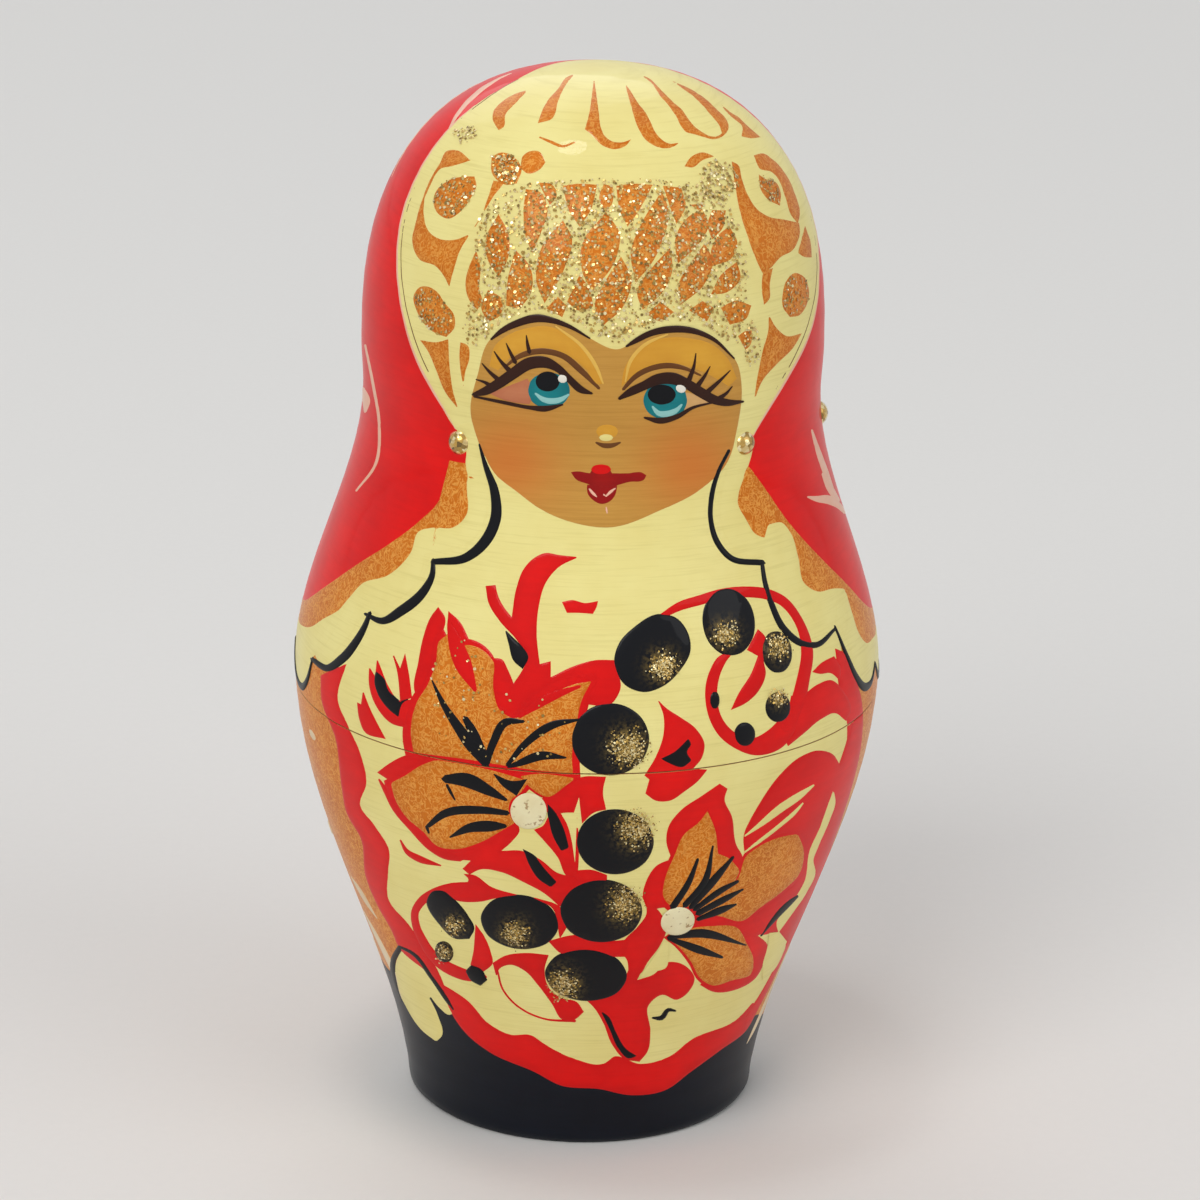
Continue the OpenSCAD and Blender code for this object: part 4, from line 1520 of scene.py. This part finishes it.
# One petal of a pair: way aside, height and width
BACK_PETAL_LINE = [(0, 8, 0.6), (1.4, 11, 1.9), (3.4, 14.5, 2.2), (4.6, 17, 0.4)]


def paint_back_dress(canvas):
    """Dots on the dress and pairs of petals over the foot."""
    for row, z in enumerate(BACK_DOT_HEIGHTS):
        for number in range(BACK_DOTS):
            turn = BACK_DOT_FIRST + BACK_DOT_STEP * (number + (row % 2) / 2)
            spot = oval(math.radians(turn) * BACK.radius, z, *BACK_DOT_SIZE)
            paint_patch(canvas, "ivory", BACK, spot, LACE, GROUND, dome=BACK_DOT_DOME)
    for number in range(BACK_PAIRS):
        middle = math.radians(BACK_PAIR_FIRST + BACK_PAIR_STEP * number) * BACK.radius
        for side in (-1, 1):
            petal = [(middle + side * aside, z, width) for aside, z, width in BACK_PETAL_LINE]
            paint_patch(canvas, "ivory", BACK, petal, LACE, GROUND)


def full_painting():
    canvas = Canvas()
    dice = np.random.default_rng(FULL_SEED)
    paint_grounds(canvas)
    paint_dress(canvas)
    paint_headdress(canvas)
    paint_face(canvas)
    paint_back_lace(canvas)
    paint_back_flowers(canvas)
    paint_back_dress(canvas)
    for points, count in HEADDRESS_GLITTER.values():
        glitter_in_shape(canvas, points, count, BAND, dice)
    glitter_in_shape(canvas, *PETAL_GLITTER, VEIN, dice)
    for x, y, reach in BERRY_GLITTER:
        glitter_in_spot(canvas, x, y, reach, BERRY_FLAKE_COAT, dice)
    return canvas


# The plain painting of the small dolls, drawn on the outer doll's outline and scaled down with it
PLAIN_CAP = {
    "field": [
        (478, 372), (470, 330), (478, 280), (500, 230), (540, 195), (608, 184), (676, 197), (716, 234),
        (738, 285), (746, 335), (738, 376), (722, 345), (690, 322), (655, 318), (630, 330), (612, 345),
        (592, 328), (560, 314), (525, 318), (496, 340),
    ],
}
PLAIN_FACE = {
    "field": [
        (480, 370), (496, 335), (530, 312), (572, 305), (610, 312), (650, 306), (690, 316), (722, 340),
        (738, 375), (738, 420), (722, 465), (690, 500), (650, 520), (608, 526), (565, 518), (525, 496),
        (494, 462), (480, 420),
    ],
}
PLAIN_DARKS = {
    "left_brow": [(500, 356, 3), (525, 340, 7), (555, 338, 7), (585, 350, 3)],
    "right_brow": [(632, 352, 3), (660, 340, 7), (690, 342, 7), (716, 360, 3)],
    "left_lid": [(496, 400, 3), (520, 384, 9), (548, 378, 11), (578, 390, 6), (590, 400, 2)],
    "right_lid": [(628, 402, 2), (642, 391, 6), (670, 380, 11), (698, 386, 9), (722, 402, 3)],
    "nose": [(598, 446, 2), (607, 449, 4), (617, 446, 2)],
}
PLAIN_EYES = {"left": oval(546, 395, 19, 15), "right": oval(672, 397, 19, 15)}
PLAIN_LIGHTS = {"left": oval(555, 388, 6, 5), "right": oval(681, 390, 6, 5)}
PLAIN_LIPS = {
    "mouth": [
        (572, 478), (590, 472), (600, 468), (608, 471), (616, 468), (626, 472), (645, 479), (626, 492),
        (608, 498), (590, 492),
    ],
}
PLAIN_TOP_ROWS = 80
PLAIN_BOTTOM_ROWS = 50
PLAIN_FLAKES = 900
PLAIN_SEED = 11
# Dots and petals of the plain painting, in millimetres on the outer doll
PLAIN_DOT_HEIGHTS = (20, 31, 41, 56, 67, 88, 98)
PLAIN_DOTS = 12
PLAIN_DOT_SIZE = (1.15, 1.35)
PLAIN_DOT_DOME = 0.1 * MM
FACE_LOW_Z = 60
FACE_HALF_DEG = 62
PLAIN_PETALS = 18
PLAIN_PETAL_RADIUS = 22
PLAIN_PETAL_LINE = [(0, 2.5, 0.8), (0.4, 6, 3.4), (0, 10, 3.0), (-0.8, 13.5, 0.5)]


def paint_plain_dots(canvas):
    """Rows of dots all round, but not on the face."""
    for row, z in enumerate(PLAIN_DOT_HEIGHTS):
        chart = WrapChart(0, float(np.interp(z, OUT_Z / MM, OUT_R / MM)))
        for number in range(PLAIN_DOTS):
            turn = FULL_TURN / PLAIN_DOTS * (number + (row % 2) / 2) - HALF_TURN
            if z > FACE_LOW_Z and abs(turn) < FACE_HALF_DEG:
                continue
            spot = oval(math.radians(turn) * chart.radius, z, *PLAIN_DOT_SIZE)
            paint_patch(canvas, "ivory", chart, spot, LACE, GROUND, dome=PLAIN_DOT_DOME)


def paint_plain_petals(canvas):
    """A row of petals over the foot."""
    chart = WrapChart(0, PLAIN_PETAL_RADIUS)
    for number in range(PLAIN_PETALS):
        middle = math.radians(FULL_TURN / PLAIN_PETALS * number - HALF_TURN) * chart.radius
        petal = [(middle + aside, z, width) for aside, z, width in PLAIN_PETAL_LINE]
        paint_patch(canvas, "ivory", chart, petal, LACE, GROUND)


def plain_painting():
    canvas = Canvas()
    dice = np.random.default_rng(PLAIN_SEED)
    paint_ring(canvas, "top", "red", SEAM_HIGH_ARC, CAP_ARC, PLAIN_TOP_ROWS, GROUND)
    paint_crown(canvas, "red", CAP_ARC, GROUND)
    paint_ring(canvas, "bottom", "red", 0.0, SEAM_LOW_ARC, PLAIN_BOTTOM_ROWS, GROUND)
    paint_shapes(canvas, "cream", BORDER, GROUND, PLAIN_CAP)
    paint_shapes(canvas, "face", LACE, GROUND, PLAIN_FACE, tone=blush)
    paint_shapes(canvas, "black", LEAF, LACE, PLAIN_EYES)
    paint_shapes(canvas, "brown", PETAL, LACE, PLAIN_DARKS)
    paint_shapes(canvas, "white", VEIN, LEAF, PLAIN_LIGHTS)
    paint_shapes(canvas, "lips", LEAF, LACE, PLAIN_LIPS)
    glitter_in_shape(canvas, PLAIN_CAP["field"], PLAIN_FLAKES, LACE, dice)
    paint_plain_dots(canvas)
    paint_plain_petals(canvas)
    return canvas


# Materials
BLACK_MASK = (0, 0, 0, 1)
WHITE_MASK = (1, 1, 1, 1)
RAMP_MIDDLE = 0.5
# Sockets of a mix node that mix colours
MIX_INPUTS = (0, 6, 7)
MIX_OUTPUT = 2
# The curve of a screen's colours: straight up to a knee, and then a power
SCREEN_TOP = 255
SCREEN_KNEE = 0.04045
SCREEN_SLOPE = 12.92
SCREEN_OFFSET = 0.055
SCREEN_POWER = 2.4


def linear(*screen_colour):
    """A colour as seen on a screen, 0 to 255, as a shader takes it."""
    channels = []
    for value in screen_colour:
        share = value / SCREEN_TOP
        if share <= SCREEN_KNEE:
            channels.append(share / SCREEN_SLOPE)
        else:
            channels.append(((share + SCREEN_OFFSET) / (1 + SCREEN_OFFSET)) ** SCREEN_POWER)
    return (*channels, 1.0)


class Shader:
    """A material under construction."""

    def __init__(self, name):
        self.material = bpy.data.materials.new(name)
        self.material.use_nodes = True
        self.tree = self.material.node_tree
        self.base = self.tree.nodes["Principled BSDF"]

    def node(self, kind, **settings):
        made = self.tree.nodes.new(kind)
        for key, value in settings.items():
            setattr(made, key, value)
        return made

    def join(self, source, target):
        self.tree.links.new(source, target)

    def feed(self, source, target):
        """A link from a socket, or a plain value."""
        if isinstance(source, bpy.types.NodeSocket):
            self.join(source, target)
        else:
            target.default_value = source

    def set(self, **values):
        for key, value in values.items():
            self.base.inputs[key.replace("_", " ").title().replace("Ior", "IOR")].default_value = value

    def place(self, stretch):
        """The doll's own coordinates, stretched along each axis."""
        source = self.node("ShaderNodeTexCoord")
        mapping = self.node("ShaderNodeMapping")
        mapping.inputs["Scale"].default_value = stretch
        self.join(source.outputs["Object"], mapping.inputs["Vector"])
        return mapping.outputs["Vector"]

    def noise(self, stretch, scale, detail=3.0, roughness=0.55, distortion=0.0):
        made = self.node("ShaderNodeTexNoise")
        made.inputs["Scale"].default_value = scale
        made.inputs["Detail"].default_value = detail
        made.inputs["Roughness"].default_value = roughness
        made.inputs["Distortion"].default_value = distortion
        self.join(self.place(stretch), made.inputs["Vector"])
        return made.outputs["Fac"]

    def ramp(self, source, *stops):
        made = self.node("ShaderNodeValToRGB")
        while len(made.color_ramp.elements) < len(stops):
            made.color_ramp.elements.new(RAMP_MIDDLE)
        for element, (position, colour) in zip(made.color_ramp.elements, stops):
            element.position = position
            element.color = colour
        self.join(source, made.inputs["Fac"])
        return made.outputs["Color"]

    def mask(self, source, low, high):
        """Black up to a low value of a source, and white from a high one."""
        return self.ramp(source, (low, BLACK_MASK), (high, WHITE_MASK))

    def ridge(self, source, low, middle, high):
        """White at a middle value of a source, and black below and above it."""
        return self.ramp(source, (low, BLACK_MASK), (middle, WHITE_MASK), (high, BLACK_MASK))

    def shades(self, source, dark, middle, bright):
        """Three colours along a source."""
        stops = [(0.0, linear(*dark)), (RAMP_MIDDLE, linear(*middle)), (1.0, linear(*bright))]
        return self.ramp(source, *stops)

    def mix(self, factor, first, second):
        made = self.node("ShaderNodeMix", data_type="RGBA")
        for source, socket in zip((factor, first, second), MIX_INPUTS):
            self.feed(source, made.inputs[socket])
        return made.outputs[MIX_OUTPUT]

    def times(self, source, factor):
        made = self.node("ShaderNodeMath", operation="MULTIPLY")
        self.join(source, made.inputs[0])
        self.feed(factor, made.inputs[1])
        return made.outputs["Value"]

    def over(self, mask, below, colour, share):
        """A colour laid over what is below it, as strongly as a mask and a share say."""
        return self.mix(self.times(mask, share), below, linear(*colour))

    def plus(self, first, second):
        made = self.node("ShaderNodeMath", operation="ADD")
        self.join(first, made.inputs[0])
        self.join(second, made.inputs[1])
        return made.outputs["Value"]

    def tone(self):
        made = self.node("ShaderNodeAttribute", attribute_name="tone")
        return made.outputs["Fac"]

    def colour(self, source):
        self.join(source, self.base.inputs["Base Color"])

    def bump(self, height, strength, distance):
        made = self.node("ShaderNodeBump")
        made.inputs["Strength"].default_value = strength
        made.inputs["Distance"].default_value = distance
        self.join(height, made.inputs["Height"])
        self.join(made.outputs["Normal"], self.base.inputs["Normal"])


# Stretches of the noise: even, in streaks round the doll, in turning lines, and in grain up the doll
EVEN = (1, 1, 1)
STREAKED = (1, 1, 9)
BRUSHED = (0.04, 0.04, 1)
TURNED = (0.03, 0.03, 1)
GRAINED = (1, 1, 0.08)
PORED = (1, 1, 0.12)

CELL_SCALE = 2300

# Depths of the bumps
PAINT_DEPTH = 0.05 * MM
THICK_DEPTH = 0.06 * MM
GLUE_DEPTH = 0.12 * MM


def varnish(shader):
    """The clear gloss over the paint."""
    shader.set(roughness=0.5, specular_ior_level=0.1)
    shader.set(coat_weight=0.34, coat_roughness=0.05, coat_ior=1.36)


def brushed_paint(name, colour, deep, lathe=0.3):
    """Flat paint with cloudy thickness, brush streaks round the doll and fine turning lines."""
    shader = Shader(name)
    cloud = shader.noise(EVEN, scale=160, detail=4)
    streaks = shader.noise(STREAKED, scale=220, detail=3)
    lines = shader.noise(BRUSHED, scale=5200, detail=2)
    thin = shader.mask(cloud, low=0.3, high=0.75)
    worn = shader.mask(streaks, low=0.42, high=0.8)
    body = shader.over(thin, linear(*colour), deep, share=0.55)
    body = shader.over(worn, body, deep, share=0.25)
    shader.colour(shader.over(shader.tone(), body, deep, share=0.3))
    relief = shader.plus(shader.times(lines, lathe), shader.times(streaks, factor=0.5))
    shader.bump(relief, strength=0.25, distance=PAINT_DEPTH)
    varnish(shader)
    return shader.material


def cream_paint(name, colour, deep, line_colour):
    """Pale paint with the turned wood's fine lines showing through it."""
    shader = Shader(name)
    cloud = shader.noise(EVEN, scale=120, detail=4)
    lines = shader.noise(TURNED, scale=4200, detail=3, roughness=0.7)
    thin = shader.mask(cloud, low=0.3, high=0.8)
    fine = shader.mask(lines, low=0.5, high=0.78)
    body = shader.over(thin, linear(*colour), deep, share=0.6)
    body = shader.over(fine, body, line_colour, share=0.4)
    shader.colour(shader.over(shader.tone(), body, deep, share=0.16))
    shader.bump(lines, strength=0.22, distance=PAINT_DEPTH)
    varnish(shader)
    return shader.material


def gold_paint(name, colour, deep, light):
    """Bronze paint with a wormy grain of lighter flakes."""
    shader = Shader(name)
    grain = shader.noise(EVEN, scale=1150, detail=1.5, roughness=0.5, distortion=2.0)
    speck = shader.noise(EVEN, scale=3800, detail=2)
    cloud = shader.noise(EVEN, scale=120, detail=4)
    worms = shader.ridge(grain, low=0.41, middle=0.5, high=0.59)
    worn = shader.mask(cloud, low=0.35, high=0.75)
    dust = shader.mask(speck, low=0.56, high=0.7)
    body = shader.over(worn, linear(*colour), deep, share=0.5)
    body = shader.over(worms, body, light, share=0.65)
    body = shader.over(dust, body, deep, share=0.35)
    shader.colour(shader.over(shader.tone(), body, deep, share=0.25))
    shader.bump(worms, strength=0.3, distance=PAINT_DEPTH)
    shader.set(metallic=0.15)
    varnish(shader)
    return shader.material


def berry_paint(name, colour, brass):
    """Black with a bloom of fine gold where the tone says."""
    shader = Shader(name)
    speck = shader.noise(EVEN, scale=2600, detail=2)
    dust = shader.mask(speck, low=0.4, high=0.62)
    bloom = shader.times(shader.tone(), dust)
    shader.colour(shader.over(bloom, linear(*colour), brass, share=0.75))
    shader.bump(speck, strength=0.15, distance=PAINT_DEPTH)
    varnish(shader)
    return shader.material


def speckled_paint(name, colour, deep, speck_colour):
    """Thick pale paint with a few flecks of bronze in it."""
    shader = Shader(name)
    cloud = shader.noise(EVEN, scale=500, detail=4)
    flecks = shader.noise(EVEN, scale=1500, detail=2)
    thin = shader.mask(cloud, low=0.35, high=0.75)
    fleck = shader.mask(flecks, low=0.62, high=0.68)
    body = shader.over(thin, linear(*colour), deep, share=0.6)
    shader.colour(shader.over(fleck, body, speck_colour, share=0.7))
    shader.bump(cloud, strength=0.3, distance=THICK_DEPTH)
    varnish(shader)
    return shader.material


def face_paint(name, colour, line_colour, flush):
    """Bare-wood tan with turning lines, flushed where the tone says."""
    shader = Shader(name)
    lines = shader.noise(TURNED, scale=3600, detail=3, roughness=0.7)
    cloud = shader.noise(EVEN, scale=150, detail=4)
    fine = shader.mask(lines, low=0.42, high=0.74)
    soft = shader.mask(cloud, low=0.3, high=0.8)
    body = shader.over(fine, linear(*colour), line_colour, share=0.5)
    body = shader.over(soft, body, line_colour, share=0.25)
    shader.colour(shader.over(shader.tone(), body, flush, share=0.65))
    shader.bump(lines, strength=0.25, distance=PAINT_DEPTH)
    varnish(shader)
    return shader.material


def glitter_flakes(name, dark, middle, bright):
    """Gold flakes, each with its own shade."""
    shader = Shader(name)
    tint = shader.shades(shader.tone(), dark, middle, bright)
    speck = shader.noise(EVEN, scale=2600, detail=2)
    shader.colour(shader.over(speck, tint, dark, share=0.3))
    shader.set(metallic=0.6, roughness=0.26, coat_weight=0.5, coat_roughness=0.05)
    return shader.material


def glitter_dab(name, dark, middle, bright):
    """Glitter in clear glue: small cells that each face their own way."""
    shader = Shader(name)
    cells = shader.node("ShaderNodeTexVoronoi", feature="F1")
    cells.inputs["Scale"].default_value = CELL_SCALE
    shader.join(shader.place(EVEN), cells.inputs["Vector"])
    split = shader.node("ShaderNodeSeparateColor")
    shader.join(cells.outputs["Color"], split.inputs["Color"])
    shader.colour(shader.shades(split.outputs["Red"], dark, middle, bright))
    shader.bump(split.outputs["Green"], strength=0.9, distance=GLUE_DEPTH)
    shader.set(metallic=0.8, roughness=0.25, coat_weight=0.9, coat_roughness=0.05)
    return shader.material


def turned_wood(name, colour, grain_colour, pore_colour):
    """Bare linden wood: long grain up the doll, turning lines round it and small pores."""
    shader = Shader(name)
    grain = shader.noise(GRAINED, scale=420, detail=5, roughness=0.6, distortion=0.4)
    lines = shader.noise(TURNED, scale=3000, detail=3)
    pores = shader.noise(PORED, scale=2600, detail=2)
    band = shader.mask(grain, low=0.35, high=0.7)
    speck = shader.mask(pores, low=0.62, high=0.74)
    body = shader.over(band, linear(*colour), grain_colour, share=0.6)
    shader.colour(shader.over(speck, body, pore_colour, share=0.5))
    shader.bump(shader.plus(lines, shader.times(grain, factor=0.6)), strength=0.3, distance=THICK_DEPTH)
    shader.set(roughness=0.62)
    return shader.material


PALE_LATHE = 0.2
PAINTS = {
    "red": brushed_paint("red_paint", (236, 12, 8), (196, 4, 8)),
    "cream": cream_paint("cream_paint", (242, 230, 152), (228, 208, 122), (206, 190, 110)),
    "heart": speckled_paint("heart_paint", (242, 232, 190), (222, 202, 146), (150, 104, 48)),
    "ivory": brushed_paint("ivory_paint", (240, 222, 186), (214, 180, 134), PALE_LATHE),
    "gold": gold_paint("gold_paint", (218, 122, 24), (182, 90, 14), (248, 184, 88)),
    "face": face_paint("face_paint", (204, 152, 70), (174, 120, 46), (214, 108, 40)),
    "dark": brushed_paint("dark_paint", (13, 18, 30), (5, 7, 12)),
    "black": brushed_paint("black_paint", (12, 13, 18), (4, 5, 8)),
    "berry": berry_paint("berry_paint", (10, 11, 16), (186, 156, 84)),
    "brown": brushed_paint("brown_paint", (62, 30, 16), (34, 15, 9)),
    "pink": brushed_paint("pink_paint", (246, 206, 182), (232, 160, 128), PALE_LATHE),
    "blush": brushed_paint("blush_paint", (204, 132, 92), (176, 92, 62)),
    "yellow": brushed_paint("yellow_paint", (226, 168, 58), (204, 138, 40)),
    "straw": brushed_paint("straw_paint", (238, 196, 98), (222, 172, 72)),
    "teal": brushed_paint("teal_paint", (24, 136, 140), (8, 88, 98)),
    "umber": brushed_paint("umber_paint", (122, 76, 34), (86, 48, 20)),
    "skin": brushed_paint("skin_paint", (224, 180, 120), (200, 146, 86)),
    "sky": brushed_paint("sky_paint", (168, 214, 206), (110, 180, 180)),
    "white": brushed_paint("white_paint", (248, 244, 232), (226, 220, 204)),
    "lips": brushed_paint("lip_paint", (168, 16, 12), (120, 8, 8)),
    "glitter": glitter_flakes("gold_flakes", (132, 104, 40), (216, 176, 84), (255, 242, 190)),
}
WOOD = turned_wood("linden_wood", (222, 186, 134), (200, 154, 98), (160, 112, 66))
DAB = glitter_dab("glitter_glue", (96, 74, 26), (206, 164, 74), (255, 242, 190))


# Pieces
def make_piece(name, sheets, paint, share, foot_z, mirror, body):
    """One mesh of all the sheets of one paint on one half of a doll."""
    angles, arcs, lifts, tones, triangles = [], [], [], [], []
    start = 0
    for angle, arc, lift, tone, corners in sheets:
        angles.append(-angle if mirror else angle)
        arcs.append(arc)
        lifts.append(lift)
        tones.append(tone)
        triangles.append(corners + start)
        start += len(angle)
    angle, arc = np.concatenate(angles), np.concatenate(arcs)
    tone, corners = np.concatenate(tones), np.concatenate(triangles)
    places = surface(angle, arc, np.concatenate(lifts))
    first, second, third = (places[corners[:, number]] for number in range(3))
    across = np.cross(second - first, third - first)
    out = surface(angle, arc, np.full(len(arc), MM)) - surface(angle, arc, np.zeros(len(arc)))
    inward = (across * out[corners[:, 0]]).sum(1) < 0
    corners[inward] = corners[inward][:, ::-1]
    places = places * share + np.array([0, 0, foot_z])
    mesh = bpy.data.meshes.new(name)
    mesh.from_pydata(places.tolist(), [], corners.tolist())
    mesh.polygons.foreach_set("use_smooth", np.ones(len(corners), bool))
    mesh.attributes.new("tone", "FLOAT", "POINT").data.foreach_set("value", tone.astype(np.float32))
    mesh.materials.append(PAINTS[paint])
    piece = bpy.data.objects.new(name, mesh)
    bpy.context.scene.collection.objects.link(piece)
    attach(piece, body)


def dress_doll(canvas, doll, halves, mirror=False):
    """Every piece of paint on one doll. halves gives the node and the body of its top and bottom."""
    foot_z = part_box(halves["bottom"][0])[0].z
    crown_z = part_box(halves["top"][0])[1].z
    share = (crown_z - foot_z) / CROWN_Z
    for (half, paint), sheets in canvas.sheets.items():
        make_piece(f"{doll}_{half}_{paint}_paint", sheets, paint, share, foot_z, mirror, halves[half][1])


def halves_of(doll):
    return {half: (f"{doll}_doll_{half}", f"{doll}_{half}") for half in ("top", "bottom")}


full = full_painting()
plain = plain_painting()
dress_doll(full, "outer_doll", halves_of("outer"))
dress_doll(full, "second_doll", halves_of("second"), mirror=True)
dress_doll(plain, "third_doll", halves_of("third"))
dress_doll(plain, "fourth_doll", halves_of("fourth"))
whole = ("smallest_doll", "smallest")
dress_doll(plain, "smallest_doll", {"top": whole, "bottom": whole})

for node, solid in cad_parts.items():
    solid.data.materials.clear()
    solid.data.materials.append(DAB if node == "glitter_beads" else WOOD)

# Floor, light and camera
FLOOR_REACH = 14.0
FLOOR_COLOUR = (226, 224, 220)
FIBRE_COLOUR = (216, 214, 210)
SKY_COLOUR = (236, 238, 242)
SKY_LIGHT = 0.5
SKY_SEEN = 0.78
DOLL_MIDDLE = (0, 0, CROWN_Z / 2)
GLARE_PIXEL = (572, 152)
GLARE_DISTANCE = 0.62
GLARE_SIZE = 0.12
GLARE_WATTS = 0.45
# The soft lamps: place, size and watts
LAMPS = {
    "key": ((-1.45, -2.6, 2.7), 2.4, 62),
    "fill": ((2.9, -1.8, 2.1), 2.9, 30),
    "back": ((-0.8, 3.4, 2.9), 3.4, 40),
}


def make_floor():
    mesh = bpy.data.meshes.new("floor")
    corners = ((-1, -1), (1, -1), (1, 1), (-1, 1))
    mesh.from_pydata([(FLOOR_REACH * x, FLOOR_REACH * y, 0) for x, y in corners], [], [(0, 1, 2, 3)])
    shader = Shader("floor_paper")
    fibre = shader.noise(EVEN, scale=900, detail=3)
    shader.colour(shader.over(fibre, linear(*FLOOR_COLOUR), FIBRE_COLOUR, share=0.3))
    shader.set(roughness=0.8)
    mesh.materials.append(shader.material)
    floor = bpy.data.objects.new("floor", mesh)
    bpy.context.scene.collection.objects.link(floor)


def make_lamp(name, place, target, size, watts):
    """A round soft lamp that faces a target."""
    light = bpy.data.lights.new(name, "AREA")
    light.shape = "DISK"
    light.size = size
    light.energy = watts
    lamp = bpy.data.objects.new(name, light)
    lamp.location = place
    lamp.rotation_euler = (Vector(target) - Vector(place)).to_track_quat("-Z", "Y").to_euler()
    bpy.context.scene.collection.objects.link(lamp)


def glare_place():
    """Where a lamp stands whose gloss shows at one pixel of the forehead, and that spot."""
    angle, arc = photo_to_doll(np.array([GLARE_PIXEL], float))
    spot = surface(angle, arc, np.zeros(1))[0]
    normal = surface(angle, arc, np.full(1, MM))[0] - spot
    normal /= np.linalg.norm(normal)
    view = spot - CAMERA_PLACE
    view /= np.linalg.norm(view)
    mirrored_view = view - 2 * np.dot(view, normal) * normal
    return tuple(spot + GLARE_DISTANCE * mirrored_view), tuple(spot)


def make_world():
    """A plain sky, paler where it is seen or mirrored than the light it gives."""
    world = bpy.data.worlds.new("studio")
    bpy.context.scene.world = world
    world.use_nodes = True
    nodes = world.node_tree.nodes
    links = world.node_tree.links
    sky = nodes["Background"]
    sky.inputs["Color"].default_value = linear(*SKY_COLOUR)
    path = nodes.new("ShaderNodeLightPath")
    strength = nodes.new("ShaderNodeMapRange")
    strength.inputs["To Min"].default_value = SKY_LIGHT
    strength.inputs["To Max"].default_value = SKY_SEEN
    shown = path.outputs["Is Camera Ray"]
    for ray in ("Is Glossy Ray", "Is Transmission Ray"):
        either = nodes.new("ShaderNodeMath")
        either.operation = "MAXIMUM"
        links.new(shown, either.inputs[0])
        links.new(path.outputs[ray], either.inputs[1])
        shown = either.outputs["Value"]
    links.new(shown, strength.inputs["Value"])
    links.new(strength.outputs["Result"], sky.inputs["Strength"])


def make_camera():
    data = bpy.data.cameras.new("camera")
    data.angle = 2 * math.atan(PHOTO_MIDDLE / FOCAL_PX)
    camera = bpy.data.objects.new("camera", data)
    bpy.context.scene.collection.objects.link(camera)
    right = ROLL_COS * ACROSS + ROLL_SIN * ALOFT
    up = ROLL_COS * ALOFT - ROLL_SIN * ACROSS
    rows = [(right[axis], up[axis], -LOOK[axis], CAMERA_PLACE[axis]) for axis in range(3)]
    camera.matrix_world = Matrix((*rows, (0, 0, 0, 1)))
    bpy.context.scene.camera = camera


make_floor()
make_world()
for lamp, (place, size, watts) in LAMPS.items():
    make_lamp(lamp, place, DOLL_MIDDLE, size, watts)
make_lamp("glare", *glare_place(), GLARE_SIZE, GLARE_WATTS)
make_camera()
bpy.context.scene.view_settings.view_transform = "Standard"
